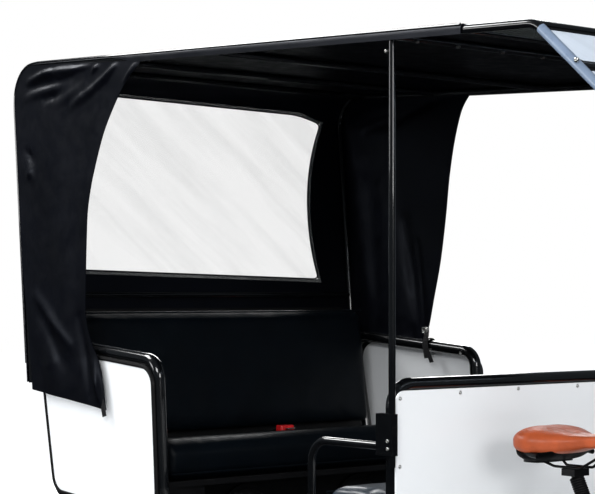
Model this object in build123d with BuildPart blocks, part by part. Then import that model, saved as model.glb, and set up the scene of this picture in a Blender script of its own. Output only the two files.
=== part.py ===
from build123d import *
import os
from math import atan2, cos, degrees, hypot, radians, sin, tan

# Passenger cycle rickshaw: two benches that face each other under a soft roof, two riders side by side.
# Millimetres. X forward, Y to the vehicle's left, Z up. Origin on the ground, midway along and across.

os.makedirs("parts", exist_ok=True)

# Stock and general clearances
frame_tube = 40.0
roof_tube = 22.0
roof_bar = 20.0
post_tube = 18.0
bar_tube = 30.0
seat_gap = 0.3
run_gap = 0.1
sheet = 6.0
board = 12.0
cloth = 3.0
clear_sheet = 2.0

# Main places
half_frame = 670.0  # side frames' tube axis from the centre plane
roof_stand = 29.0  # the roof rails stand this far outside the side frames
roof_half = half_frame + roof_stand  # roof rails' tube axis from the centre plane
floor_top = 400.0
pan_bottom = 655.5
axle_x = -1220.0
axle_z = 305.0
front_axle_x = 1290.7
partition_x = 187.0
partition_top = 1003.0  # axis of the partition's top tube
post_foot_z = 315.0  # the partition's posts end at the cross member
outer_rail_front = -870.0
leg_x = -300.0  # drop legs join the sills to a cross member here
rider_y = 290.0

# Side frame: tube axis, seen from the side
rail_front = (-840.0, 1036.0)
rail_rear = (-1465.0, 1087.0)
side_low_rear = (-1375.0, 605.0)
post_foot_x = -800.0
sill_z = 400.0
sill_bend = 280.0
rail_bend = 55.0
panel_shift = 6.0  # the sheet's edge stands this far forward of the tube's axis
panel_corner = 60.0

# Roof rails: tube axis, seen from the side
roof_start_x = -1375.0  # the roof's height is stated here
roof_start_z = 1982.6
roof_fall = 0.0517
roof_skin = 14.3  # from a tube's axis to the top of the cloth
rear_fall = 0.0875  # the rear uprights lean back this much per unit of height
rear_wall_x = -1501.0  # uprights' axis at their foot
upright_foot = 950.0
roof_bend_x = 700.0
visor_x = 975.0
visor_angle = 41.0
rear_corner = 100.0
visor_corner = 60.0
canopy_front_x = 470.0
bend_bar_x = 706.0
visor_bar_ahead = 128.0
low_bar_ahead = 265.0
hem_drop = 25.0

# Wheels
tyre_radius = 305.0
tyre_width = 50.0
rim_radius = 258.0
rim_depth = 18.0
rim_width = 34.0
wheel_inset = 110.0  # from the side frames' axis to the wheels' middle
wheel_y = half_frame - wheel_inset
hub_radius = 24.0
hub_width = 84.0
flange_radius = 33.0
spoke_pairs = 16
spoke_size = 2.6
guard_gap = 38.0
guard_sheet = 3.0
guard_width = 76.0
shaft_radius = 10.0
bearing_inset = 66.0  # from the wheels' middle to the outer bearings'
inner_bearing_y = 270.0
outer_bearing_y = wheel_y - bearing_inset
bearing_length = 32.0

# Drive
crank_x = 693.0
crank_z = 300.0
crank_length = 165.0
shell_radius = 20.0
shell_length = 68.0
chain_y = 335.0
chain_width = 7.0
ring_pitch = 77.0
sprocket_pitch = 50.0
seat_lean = 25.8  # seat tubes lean back from upright
pedal_length = 92.0
pedal_width = 84.0
pedal_height = 22.0

# Steering
head_angle = 70.0
head_z = 800.0
fork_offset = 48.0
head_length = 150.0
steerer_radius = 15.0
column_radius = 12.0
sleeve_length = 120.0
steer_arm = 80.0

# Benches
bench_front_x = -970.0
wheel_room = 60.0  # from the wheels' middle to the boards beside them
bench_half = wheel_y - wheel_room
wing_x = -850.0
cushion_inset = 30.0  # from the side frames' axis to the cushions' ends
cushion_half = half_frame - cushion_inset
seat_front_z = 800.0
seat_rear_z = 757.0
seat_front_x = -812.0
back_foot = (-1308.0, 753.0)
back_top = (-1366.0, 1198.0)
front_seat_x = -175.0
front_seat_z = 720.0
front_inset = 65.0  # from the side frames' axis to the front bench's ends
front_half = half_frame - front_inset

steer_dir = Vector(-cos(radians(head_angle)), 0, sin(radians(head_angle)))
steer_fwd = Vector(sin(radians(head_angle)), 0, cos(radians(head_angle)))


def save(piece, label):
    piece.part.label = label
    export_step(piece.part, f"parts/{label}.step")


def add_tube(points, diameter, radii=None):
    """Adds a round tube along a path of straight runs and arcs to the part that is being built."""
    with BuildLine() as path:
        if radii is None:
            Polyline(*points)
        else:
            FilletPolyline(*points, radius=radii)
    with BuildSketch(Plane(origin=path.line @ 0, z_dir=path.line % 0)) as ring:
        Circle(diameter / 2)
    sweep(ring.sketch, path=path.line)


def roof_z(x):
    """Height of the roof rails' axis at a place along the vehicle."""
    return roof_start_z - roof_skin - roof_fall * (x - roof_start_x)


def upright_x(z):
    """Place of the rear uprights' axis at a height."""
    return rear_wall_x - rear_fall * (z - upright_foot)


def rear_post_x(z):
    """Place of the side frames' rear post at a height."""
    slope = (rail_rear[0] - side_low_rear[0]) / (rail_rear[1] - side_low_rear[1])
    return side_low_rear[0] + slope * (z - side_low_rear[1])


def steer_point(along, y=0.0, forward=0.0):
    """A point given by its distance up the steering axis, to the side and ahead of it."""
    foot_x = front_axle_x - fork_offset
    head_x = foot_x - (head_z - axle_z) / tan(radians(head_angle))
    return Vector(head_x, y, head_z) + steer_dir * along + steer_fwd * forward


def in_side_plane(points, y):
    return [(x, y, z) for x, z in points]


# Chassis: two main tubes that draw together ahead of the partition, outer tubes and cross members

rail_z = 365.0
cross_z = 332.0
chassis_rear_x = -1450.0
spine_half = 60.0
spine_turn_x = 250.0
spine_in_x = 430.0
spine_rise_x = 800.0

spine_join = -8.0  # place on the head tube where the main tubes end

with BuildPart() as chassis_frame:
    head_foot = steer_point(spine_join)
    for side in (-1, 1):
        spine = [
            (chassis_rear_x, side * inner_bearing_y, rail_z),
            (spine_turn_x, side * inner_bearing_y, rail_z),
            (spine_in_x, side * spine_half, rail_z),
            (spine_rise_x, side * spine_half, rail_z),
            (head_foot.X, side * 26.0, head_foot.Z),
        ]
        add_tube(spine, frame_tube, (120.0, 120.0, 150.0))
    with Locations(Plane(origin=steer_point(0), z_dir=steer_dir)):
        Cylinder(22.0 + seat_gap, 400.0, mode=Mode.SUBTRACT)
    with Locations(Plane(origin=steer_point(0), z_dir=(0, 1, 0))):
        Cylinder(frame_tube / 2 + seat_gap, 400.0, mode=Mode.SUBTRACT)
save(chassis_frame, "chassis_frame")

with BuildPart() as outer_rails:
    for side in (-1, 1):
        outer = [
            (chassis_rear_x, side * outer_bearing_y, rail_z),
            (outer_rail_front, side * outer_bearing_y, rail_z),
        ]
        add_tube(outer, frame_tube)
save(outer_rails, "outer_rails")

with BuildPart() as cross_members:
    cross_places = (
        # place, reach to each side
        (chassis_rear_x + 20.0, outer_bearing_y + 15.0),
        (outer_rail_front - 15.0, outer_bearing_y + 15.0),
        (leg_x, half_frame),
        (partition_x, half_frame),
    )
    for x, reach in cross_places:
        add_tube([(x, -reach, cross_z), (x, reach, cross_z)], bar_tube)
    with Locations((leg_x, half_frame, cross_z), (leg_x, -half_frame, cross_z)):
        Cylinder(bar_tube / 2 + seat_gap, 60.0, mode=Mode.SUBTRACT)
    with Locations((partition_x, half_frame, cross_z), (partition_x, -half_frame, cross_z)):
        Cylinder(frame_tube / 2 + seat_gap, 60.0, mode=Mode.SUBTRACT)
    add(chassis_frame.part, mode=Mode.SUBTRACT)
    add(outer_rails.part, mode=Mode.SUBTRACT)
save(cross_members, "cross_members")

with BuildPart() as axle_bearings:
    for y in (inner_bearing_y, outer_bearing_y):
        with BuildSketch(Plane.XZ.offset(-y - bearing_length / 2)):
            with BuildLine():
                Polyline((axle_x - 34, rail_z - 12), (axle_x + 34, rail_z - 12), (axle_x + 22, axle_z))
                RadiusArc((axle_x + 22, axle_z), (axle_x - 22, axle_z), 22, short_sagitta=False)
                Line((axle_x - 22, axle_z), (axle_x - 34, rail_z - 12))
            make_face()
            with Locations((axle_x, axle_z)):
                Circle(shaft_radius + run_gap, mode=Mode.SUBTRACT)
        extrude(amount=bearing_length)
    mirror(about=Plane.XZ)
    add(chassis_frame.part, mode=Mode.SUBTRACT)
    add(outer_rails.part, mode=Mode.SUBTRACT)
save(axle_bearings, "axle_bearings")

with BuildPart() as floor_panel:
    floor_end = partition_x - frame_tube / 2 - 2.0
    floor_rear = bench_front_x - board - 4.0
    wing_rear = wing_x - board - 2.0
    floor_foot = rail_z + frame_tube / 2 + seat_gap
    with BuildSketch(Plane.XY.offset(floor_foot)):
        with Locations(((wing_rear + floor_end) / 2, 0)):
            Rectangle(floor_end - wing_rear, 2 * (half_frame - frame_tube / 2 - 1))
        with Locations(((floor_rear + wing_rear) / 2 + 1, 0)):
            Rectangle(wing_rear - floor_rear + 2, 2 * (bench_half - board) - 4)
    extrude(amount=floor_top - seat_gap - floor_foot)
save(floor_panel, "floor_panel")

# Side frames: bent tube round the rear bench's side, whose front post sweeps forward into the door sill

sill_end_x = partition_x - frame_tube / 2 - seat_gap

rail_middle = ((rail_front[0] + rail_rear[0]) / 2, (rail_front[1] + rail_rear[1]) / 2)
low_rail_front = (-813.0, 562.0)

with BuildPart() as side_frame_right:
    front_run = [(sill_end_x + 15.0, sill_z), (post_foot_x, sill_z), rail_front, rail_middle]
    add_tube(in_side_plane(front_run, -half_frame), frame_tube, (sill_bend, rail_bend))
    rear_run = [rail_middle, rail_rear, side_low_rear, low_rail_front]
    add_tube(in_side_plane(rear_run, -half_frame), frame_tube, (rail_bend, rail_bend))
    add_tube([(leg_x, -half_frame, sill_z), (leg_x, -half_frame, cross_z - 18)], bar_tube)
    with Locations((partition_x, -half_frame, sill_z)):
        Cylinder(frame_tube / 2 + seat_gap, 300.0, mode=Mode.SUBTRACT)
save(side_frame_right, "side_frame_right")

with BuildPart() as side_frame_left:
    mirror(side_frame_right.part, about=Plane.XZ)
save(side_frame_left, "side_frame_left")

with BuildPart() as side_panels:
    with BuildSketch(Plane.XZ.offset(half_frame + frame_tube / 2)) as outline:
        with BuildLine():
            FilletPolyline(
                (rail_front[0] + panel_shift, rail_front[1] - frame_tube / 2 + 1),
                (rail_rear[0] + panel_shift, rail_rear[1] - frame_tube / 2 + 1),
                (side_low_rear[0] + panel_shift, side_low_rear[1] + 6),
                (low_rail_front[0] + panel_shift, low_rail_front[1] + 8),
                radius=panel_corner,
                close=True,
            )
        make_face()
    extrude(amount=sheet)
    mirror(about=Plane.XZ)
save(side_panels, "side_panels")

rear_rail_low = 640.0
rear_rail_high = 1045.0

with BuildPart() as rear_frame:
    for z in (rear_rail_low, rear_rail_high):
        add_tube([(rear_post_x(z), -half_frame, z), (rear_post_x(z), half_frame, z)], bar_tube)
    for y in (-330.0, 330.0):
        foot = (rear_post_x(rear_rail_low), y, rear_rail_low)
        head = (rear_post_x(rear_rail_high), y, rear_rail_high)
        add_tube([foot, head], bar_tube - 6)
    for y in (-inner_bearing_y, inner_bearing_y):
        foot = (rear_post_x(rear_rail_low), y, rail_z + 8)
        add_tube([(rear_post_x(rear_rail_low), y, rear_rail_low), foot], bar_tube)
    add(chassis_frame.part, mode=Mode.SUBTRACT)
    add(cross_members.part, mode=Mode.SUBTRACT)
    add(side_frame_right.part, mode=Mode.SUBTRACT)
    add(side_frame_left.part, mode=Mode.SUBTRACT)
save(rear_frame, "rear_frame")

# Sheets that close the body behind the rear bench, parallel to the leaning rear posts

lean = degrees(atan2(side_low_rear[0] - rail_rear[0], rail_rear[1] - side_low_rear[1]))
rear_plane = Plane(
    origin=(rear_post_x(840.0), 0, 840.0),
    x_dir=(0, 1, 0),
    z_dir=(cos(radians(lean)), 0, sin(radians(lean))),
)

with BuildPart() as rear_panel:
    with BuildSketch(rear_plane.offset(-bar_tube / 2 - sheet)):
        with Locations((0, 17.0)):
            RectangleRounded(2 * (half_frame - frame_tube / 2) - 6, 430.0, 40.0)
    extrude(amount=sheet)
save(rear_panel, "rear_panel")

with BuildPart() as back_board:
    with BuildSketch(rear_plane.offset(bar_tube / 2)):
        with Locations((0, 92.0)):
            RectangleRounded(2 * cushion_half - 30, 516.0, 30.0)
    extrude(amount=10.0)
save(back_board, "back_board")

# Rear bench: boards under the cushion, set back at the front and stepped out round the wheels

pan_rear = -1370.0
pan_front = -842.0
wall_foot = rail_z + frame_tube / 2 + seat_gap

with BuildPart() as rear_bench_box:
    with BuildSketch(Plane.XY.offset(pan_bottom)):
        with Locations(((pan_rear + pan_front) / 2, 0)):
            RectangleRounded(pan_front - pan_rear, 2 * (half_frame - frame_tube / 2) - 8, 12.0)
    extrude(amount=18.0)
    wall_height = pan_bottom - floor_top
    skirt_boards = (
        # rear face, inner end, outer end
        (bench_front_x - board, 0.0, bench_half),
        (wing_x - board, bench_half - board, 645.0),
    )
    for x, inner, outer in skirt_boards:
        with BuildSketch(Plane.XY.offset(floor_top)):
            with Locations((x + board / 2, (inner + outer) / 2), (x + board / 2, -(inner + outer) / 2)):
                Rectangle(board, outer - inner)
        extrude(amount=wall_height)
    wall_front = wing_rear - 2.0
    with BuildSketch(Plane.XY.offset(wall_foot)):
        for y in (-bench_half + board / 2, bench_half - board / 2):
            with Locations(((pan_rear + 10 + wall_front) / 2, y)):
                Rectangle(wall_front - pan_rear - 10, board)
    extrude(amount=pan_bottom - wall_foot)
save(rear_bench_box, "rear_bench_box")

with BuildPart() as bench_speakers:
    for y in (-240.0, 240.0):
        with BuildSketch(Plane.YZ.offset(bench_front_x)):
            with Locations((y, 525.0)):
                Circle(110.0)
        extrude(amount=6.0)
        with BuildSketch(Plane.YZ.offset(bench_front_x + 6.0)):
            with Locations((y, 525.0)):
                Circle(110.0)
                Circle(97.0, mode=Mode.SUBTRACT)
                Circle(26.0)
        extrude(amount=6.0)
save(bench_speakers, "bench_speakers")

# Soft seats

pan_top = pan_bottom + 18.0
seat_rear_x = -1358.0

with BuildPart() as rear_seat_cushion:
    with BuildSketch(Plane.XZ.offset(-cushion_half)):
        with BuildLine():
            Polyline(
                (seat_rear_x, pan_top + seat_gap),
                (-850.0, pan_top + seat_gap),
                (seat_front_x, pan_top + 30),
                (seat_front_x, seat_front_z - 34),
                (-846.0, seat_front_z),
                (back_foot[0] + 2, seat_rear_z),
                (seat_rear_x, seat_rear_z - 2),
                close=True,
            )
        make_face()
    extrude(amount=2 * cushion_half)
save(rear_seat_cushion, "rear_seat_cushion")

with BuildPart() as rear_backrest:
    board_front = bar_tube / 2 + 10.0 + 1.5
    with BuildSketch(Plane.XZ.offset(-cushion_half + 5)):
        with BuildLine():
            Polyline(
                (rear_post_x(765.0) + board_front, 762.0),
                (back_foot[0], 762.0),
                (back_top[0] - 2, back_top[1] - 40),
                (back_top[0] - 34, back_top[1]),
                (rear_post_x(1190.0) + board_front, 1190.0),
                close=True,
            )
        make_face()
    extrude(amount=2 * cushion_half - 10)
save(rear_backrest, "rear_backrest")

with BuildPart() as seat_belt_buckle:
    with BuildSketch(Plane.XY.offset(seat_rear_z + 8)):
        with Locations((-1240.0, 150.0)):
            RectangleRounded(34.0, 60.0, 8.0)
    extrude(amount=22.0)
    fillet(seat_belt_buckle.faces().sort_by(Axis.Z)[-1].edges(), 5.0)
save(seat_belt_buckle, "seat_belt_buckle")

# Partition between passengers and riders

with BuildPart() as partition_frame:
    hoop = [
        (partition_x, -half_frame, post_foot_z),
        (partition_x, -half_frame, partition_top),
        (partition_x, half_frame, partition_top),
        (partition_x, half_frame, post_foot_z),
    ]
    add_tube(hoop, frame_tube, (55.0, 55.0))
    add_tube([(partition_x, -half_frame, sill_z + 1), (partition_x, half_frame, sill_z + 1)], bar_tube)
    add(chassis_frame.part, mode=Mode.SUBTRACT)
    add(side_frame_right.part, mode=Mode.SUBTRACT)
    add(side_frame_left.part, mode=Mode.SUBTRACT)
save(partition_frame, "partition_frame")

panel_overhang = 14.0  # the sheet's edge stands this far outside the frame's axis

with BuildPart() as partition_panel:
    panel_foot = sill_z - 10
    panel_head = partition_top - 11.5
    with BuildSketch(Plane.YZ.offset(partition_x + frame_tube / 2)):
        with Locations((0, (panel_foot + panel_head) / 2)):
            RectangleRounded(2 * (half_frame + panel_overhang), panel_head - panel_foot, 30.0)
    extrude(amount=sheet)
save(partition_panel, "partition_panel")

with BuildPart() as front_bench_box:
    box_rear = front_seat_x + 45.0
    box_front = partition_x - frame_tube / 2 - seat_gap
    with BuildSketch(Plane.XY.offset(floor_top)):
        with Locations(((box_rear + box_front) / 2, 0)):
            Rectangle(box_front - box_rear, 2 * front_half - 30)
            Rectangle(box_front - box_rear - 2 * board, 2 * front_half - 30 - 2 * board, mode=Mode.SUBTRACT)
    extrude(amount=200.0)
    with BuildSketch(Plane.XY.offset(floor_top + 200.0)):
        with Locations(((front_seat_x + 12 + box_front) / 2, 0)):
            Rectangle(box_front - front_seat_x - 12, 2 * front_half - 6)
    extrude(amount=15.0)
save(front_bench_box, "front_bench_box")

with BuildPart() as front_bench_cushion:
    base = floor_top + 215.0 + seat_gap
    with BuildSketch(Plane.XZ.offset(-front_half)):
        with BuildLine():
            Polyline(
                (box_front - 3, base),
                (front_seat_x + 20, base),
                (front_seat_x, base + 26),
                (front_seat_x, front_seat_z - 26),
                (front_seat_x + 26, front_seat_z),
                (box_front - 3, front_seat_z - 8),
                close=True,
            )
        make_face()
    extrude(amount=2 * front_half)
save(front_bench_cushion, "front_bench_cushion")

with BuildPart() as armrest_loops:
    arm_y = -655.0
    arm_z = 846.0
    arm_rear_x = -151.0
    arm = [(partition_x, arm_y, arm_z), (arm_rear_x, arm_y, arm_z), (arm_rear_x, arm_y, sill_z)]
    add_tube(arm, roof_tube, (60.0,))
    add(partition_frame.part, mode=Mode.SUBTRACT)
    add(side_frame_right.part, mode=Mode.SUBTRACT)
    mirror(about=Plane.XZ)
save(armrest_loops, "armrest_loops")

# Roof: bent rails with cross bars, posts on the partition, soft cover and clear panes

visor_z = roof_z(roof_bend_x) - (visor_x - roof_bend_x) * tan(radians(visor_angle))
top_rear_z = roof_z(upright_x(1990.0))

roof_tab_heights = (985.0, 1060.0)  # plates that join the uprights to the side frames

with BuildPart() as roof_rails:
    rail = [
        (upright_x(upright_foot), upright_foot),
        (upright_x(top_rear_z), top_rear_z),
        (roof_bend_x, roof_z(roof_bend_x)),
        (visor_x, visor_z),
    ]
    add_tube(in_side_plane(rail, -roof_half), roof_tube, (rear_corner, visor_corner))
    for z in roof_tab_heights:
        with BuildSketch(Plane.XY.offset(z)):
            with Locations(((upright_x(z) + rear_post_x(z)) / 2, -roof_half + 6.0)):
                Rectangle(upright_x(z) * -1 + rear_post_x(z) + 8, 8.0)
        extrude(amount=22.0)
    add(side_frame_right.part, mode=Mode.SUBTRACT)
    add(side_panels.part, mode=Mode.SUBTRACT)
    mirror(about=Plane.XZ)
save(roof_rails, "roof_rails")

window_bar_z = 1235.0  # the bar across the back, below the window

bar_places = [(x, roof_z(x)) for x in (-1440.0, -1070.0, -542.0, partition_x + 26.0, canopy_front_x)]
bar_places += [
    (bend_bar_x, roof_z(roof_bend_x) - 4),
    (roof_bend_x + visor_bar_ahead, roof_z(roof_bend_x) - visor_bar_ahead * tan(radians(visor_angle))),
    (roof_bend_x + low_bar_ahead, roof_z(roof_bend_x) - low_bar_ahead * tan(radians(visor_angle))),
    (upright_x(window_bar_z), window_bar_z),
]

with BuildPart() as roof_bars:
    for x, z in bar_places:
        add_tube([(x, -roof_half, z), (x, roof_half, z)], roof_bar)
    add(roof_rails.part, mode=Mode.SUBTRACT)
save(roof_bars, "roof_bars")

with BuildPart() as roof_posts:
    post_x = partition_x + 26.0
    post_foot = 800.0
    add_tube([(post_x, -roof_half, post_foot), (post_x, -roof_half, roof_z(post_x))], post_tube)
    with Locations((partition_x + 8.0, -roof_half - 2.0, 882.0)):
        Box(58.0, 22.0, 106.0)
    add(partition_frame.part, mode=Mode.SUBTRACT)
    add(roof_rails.part, mode=Mode.SUBTRACT)
    add(roof_bars.part, mode=Mode.SUBTRACT)
    mirror(about=Plane.XZ)
save(roof_posts, "roof_posts")

# Soft cover: roof sheet that turns down behind, rear wall with its window, and a hem along each side

cover_half = roof_half + roof_skin
wall_top = 1862.0
wall_low = 950.0
skin_out = roof_skin
skin_in = roof_skin - cloth

with BuildPart() as canopy_roof:
    with BuildSketch(Plane.XZ.offset(-cover_half)):
        with BuildLine():
            top = FilletPolyline(
                (canopy_front_x, roof_z(canopy_front_x) + skin_out),
                (upright_x(top_rear_z) - skin_out, roof_z(upright_x(top_rear_z) - skin_out) + skin_out),
                (upright_x(wall_top + 2) - skin_out, wall_top + 2),
                radius=rear_corner + skin_out,
            )
            under = FilletPolyline(
                (canopy_front_x, roof_z(canopy_front_x) + skin_in),
                (upright_x(top_rear_z) - skin_in, roof_z(upright_x(top_rear_z) - skin_in) + skin_in),
                (upright_x(wall_top + 2) - skin_in, wall_top + 2),
                radius=rear_corner + skin_in,
            )
            Line(top @ 0, under @ 0)
            Line(top @ 1, under @ 1)
        make_face()
    extrude(amount=2 * cover_half)
    with BuildSketch(Plane.XZ.offset(cover_half)):
        with BuildLine():
            Polyline(
                (canopy_front_x, roof_z(canopy_front_x) + skin_in),
                (canopy_front_x, roof_z(canopy_front_x) + skin_out - hem_drop),
                (-1440.0, roof_z(-1440.0) + skin_out - hem_drop),
                (-1440.0, roof_z(-1440.0) + skin_in),
                close=True,
            )
        make_face()
    extrude(amount=-cloth)
    with BuildSketch(Plane.XZ.offset(-cover_half)):
        with BuildLine():
            Polyline(
                (canopy_front_x, roof_z(canopy_front_x) + skin_in),
                (canopy_front_x, roof_z(canopy_front_x) + skin_out - hem_drop),
                (-1440.0, roof_z(-1440.0) + skin_out - hem_drop),
                (-1440.0, roof_z(-1440.0) + skin_in),
                close=True,
            )
        make_face()
    extrude(amount=cloth)
save(canopy_roof, "canopy_roof")

wall_middle = 1340.0
wall_plane = Plane(
    origin=(upright_x(wall_middle) - skin_in, 0, wall_middle),
    x_dir=(0, -1, 0),
    z_dir=(-cos(atan2(rear_fall, 1)), 0, -sin(atan2(rear_fall, 1))),
)
window_low = 1290.0 - wall_middle
window_high = 1850.0 - wall_middle
window_low_half = roof_half - 139.0
window_waist_half = roof_half - 174.0
window_high_half = roof_half - 99.0
window_lap = 12.0  # the clear sheet reaches this far past the opening
window_top_lap = 8.0


def add_window(lap, top_lap, mode=Mode.ADD):
    """Adds the window's waisted outline, enlarged by the laps, to the sketch that is being drawn."""
    low = window_low - lap
    high = window_high + top_lap
    waist_z = (window_low + window_high) / 2
    with BuildLine() as outline:
        Line((-window_low_half - lap, low), (window_low_half + lap, low))
        for side in (1, -1):
            foot = (side * (window_low_half + lap), low)
            waist = (side * (window_waist_half + lap), waist_z)
            top = (side * (window_high_half + lap), high)
            ThreePointArc(foot, waist, top)
        Line((-window_high_half - lap, high), (window_high_half + lap, high))
    make_face(outline.edges(), mode=mode)


with BuildPart() as canopy_rear_wall:
    with BuildSketch(wall_plane) as wall:
        with Locations((0, (wall_top + wall_low) / 2 - wall_middle)):
            Rectangle(2 * cover_half, wall_top - wall_low)
        add_window(0.0, 0.0, mode=Mode.SUBTRACT)
    extrude(amount=cloth)
save(canopy_rear_wall, "canopy_rear_wall")

with BuildPart() as rear_window:
    with BuildSketch(wall_plane.offset(-clear_sheet)):
        add_window(window_lap, window_top_lap)
    extrude(amount=clear_sheet)
save(rear_window, "rear_window")

with BuildPart() as side_curtains:
    with BuildSketch(Plane.XZ.offset(cover_half)):
        with BuildLine():
            curtain_top = (-897.0, roof_z(-897.0) + skin_out - hem_drop - 1)
            ThreePointArc(curtain_top, (-1178.0, 1545.0), (-1190.0, 1180.0))
            Polyline((-1190.0, 1180.0), (-1094.0, 991.0), (-1075.0, 905.0), (-1508.0, 932.0))
            Line((-1508.0, 932.0), (upright_x(1850.0) - 8, 1850.0))
            ThreePointArc((upright_x(1850.0) - 8, 1850.0), (-1552.0, 1930.0), (-1440.0, roof_z(-1440.0) - 12))
            Line((-1440.0, roof_z(-1440.0) - 12), curtain_top)
        make_face()
    extrude(amount=-cloth)
    mirror(about=Plane.XZ)
save(side_curtains, "side_curtains")

slope = tan(radians(visor_angle))
pane_half = roof_half - roof_tube / 2 - seat_gap
gasket = 8.0


def visor_point(ahead):
    """A point on the visor's plane, given by its distance ahead of the roof's bend."""
    return roof_bend_x + ahead, roof_z(roof_bend_x) - ahead * slope


bar_room = roof_bar / 2 + seat_gap
slope_room = bar_room * cos(radians(visor_angle))
front_pane = [canopy_front_x + bar_room, bend_bar_x - bar_room]
pane_ends = (
    # rear edge, front edge, room for a gasket
    ((front_pane[0], roof_z(front_pane[0])), (front_pane[1], roof_z(front_pane[1])), 0.0),
    (visor_point(bend_bar_x - roof_bend_x + slope_room), visor_point(visor_bar_ahead - slope_room), gasket),
    (visor_point(visor_bar_ahead + slope_room), visor_point(low_bar_ahead - slope_room), gasket),
)


def pane_plane(rear, front):
    """Plane through a pane's middle, its X along the slope and its normal upward."""
    along = Vector(front[0] - rear[0], 0, front[1] - rear[1])
    middle = ((rear[0] + front[0]) / 2, 0, (rear[1] + front[1]) / 2)
    return Plane(origin=middle, x_dir=along, z_dir=along.cross(Vector(0, 1, 0)))


with BuildPart() as clear_panes:
    for rear, front, inset in pane_ends:
        slope_length = hypot(front[0] - rear[0], front[1] - rear[1])
        with BuildSketch(pane_plane(rear, front)):
            RectangleRounded(slope_length - 2 * inset, 2 * (pane_half - inset), 12.0)
        extrude(amount=clear_sheet)
save(clear_panes, "clear_panes")

with BuildPart() as visor_gasket:
    for rear, front, inset in pane_ends[1:]:
        slope_length = hypot(front[0] - rear[0], front[1] - rear[1])
        with BuildSketch(pane_plane(rear, front).offset(-3.0)):
            RectangleRounded(slope_length, 2 * pane_half, 19.0)
            hole_length = slope_length - 2 * (inset - seat_gap)
            hole_width = 2 * (pane_half - inset + seat_gap)
            RectangleRounded(hole_length, hole_width, 12.3, mode=Mode.SUBTRACT)
        extrude(amount=8.0)
save(visor_gasket, "visor_gasket")

# Rider places: crank shells, seat tubes and stays on one cross beam under the spine

post_dir = Vector(-sin(radians(seat_lean)), 0, cos(radians(seat_lean)))
seat_tube_top = 470.0
beam_x = 420.0
beam_z = rail_z - frame_tube / 2 - 16.0 - seat_gap

with BuildPart() as rider_frame:
    for side in (-1, 1):
        shell = Vector(crank_x, side * rider_y, crank_z)
        add_tube([shell, shell + post_dir * seat_tube_top], 36.0)
        add_tube([shell, (beam_x, side * rider_y, beam_z)], 32.0)
        add_tube([(beam_x, side * rider_y, beam_z), shell + post_dir * (seat_tube_top - 60)], 22.0)
        with Locations(Plane(origin=shell, z_dir=(0, 1, 0))):
            Cylinder(shell_radius + 3, shell_length)
    add_tube([(beam_x, -rider_y - 16, beam_z), (beam_x, rider_y + 16, beam_z)], 32.0)
    for side in (-1, 1):
        shell = Vector(crank_x, side * rider_y, crank_z)
        with Locations(Plane(origin=shell, z_dir=(0, 1, 0))):
            Cylinder(9.0 + run_gap, shell_length + 20, mode=Mode.SUBTRACT)
        bore_foot = shell + post_dir * (seat_tube_top - 150)
        with BuildSketch(Plane(origin=bore_foot, z_dir=post_dir)):
            Circle(14.0)
        extrude(amount=160.0, mode=Mode.SUBTRACT)
save(rider_frame, "rider_frame")

saddle_clamp_z = 782.0
clamp_along = (saddle_clamp_z - crank_z) / cos(radians(seat_lean))

with BuildPart() as seat_posts:
    for side in (-1, 1):
        shell = Vector(crank_x, side * rider_y, crank_z)
        with BuildSketch(Plane(origin=shell + post_dir * (seat_tube_top - 140), z_dir=post_dir)):
            Circle(14.0 - run_gap)
        extrude(amount=clamp_along - seat_tube_top + 140)
        clamp = shell + post_dir * clamp_along
        with Locations(clamp):
            Box(44.0, 56.0, 18.0)
save(seat_posts, "seat_posts")

# Saddles: wide sprung tails that narrow to a nose, on two rails each

saddle_sections = (
    # place from the clamp, half width, top height, underside height
    (-135.0, 62.0, 88.0, 62.0),
    (-118.0, 98.0, 96.0, 46.0),
    (-70.0, 105.0, 94.0, 40.0),
    (-10.0, 74.0, 84.0, 46.0),
    (60.0, 38.0, 80.0, 48.0),
    (118.0, 26.0, 80.0, 50.0),
    (136.0, 14.0, 72.0, 58.0),
)

with BuildPart() as saddles:
    clamp = Vector(crank_x, -rider_y, crank_z) + post_dir * clamp_along
    for place, half, high, low in saddle_sections:
        with BuildSketch(Plane.YZ.offset(clamp.X + place)):
            with BuildLine():
                left = (clamp.Y - half, clamp.Z + low)
                right = (clamp.Y + half, clamp.Z + low)
                Line(left, right)
                left_top = (clamp.Y - half, clamp.Z + (low + high) / 2)
                right_top = (clamp.Y + half, clamp.Z + (low + high) / 2)
                Line(right, right_top)
                ThreePointArc(right_top, (clamp.Y, clamp.Z + high), left_top)
                Line(left_top, left)
            make_face()
    loft()
    mirror(about=Plane.XZ)
save(saddles, "saddles")

with BuildPart() as saddle_rails:
    for spread in (-1, 1):
        rod = [
            (clamp.X - 105, clamp.Y + spread * 50, clamp.Z + 38),
            (clamp.X - 50, clamp.Y + spread * 24, clamp.Z + 12.6),
            (clamp.X + 38, clamp.Y + spread * 24, clamp.Z + 12.6),
            (clamp.X + 92, clamp.Y + spread * 10, clamp.Z + 46),
        ]
        add_tube(rod, 7.0, (20.0, 20.0))
    with BuildSketch(Plane.XY.offset(clamp.Z + 22)):
        with Locations((clamp.X - 92, clamp.Y)):
            RectangleRounded(64.0, 150.0, 26.0)
    extrude(amount=17.0)
    add(saddles.part, mode=Mode.SUBTRACT)
    add(seat_posts.part, mode=Mode.SUBTRACT)
    mirror(about=Plane.XZ)
save(saddle_rails, "saddle_rails")

# Steering: head tube and two column sleeves on one cross tube, fork, columns and drag link

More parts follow.
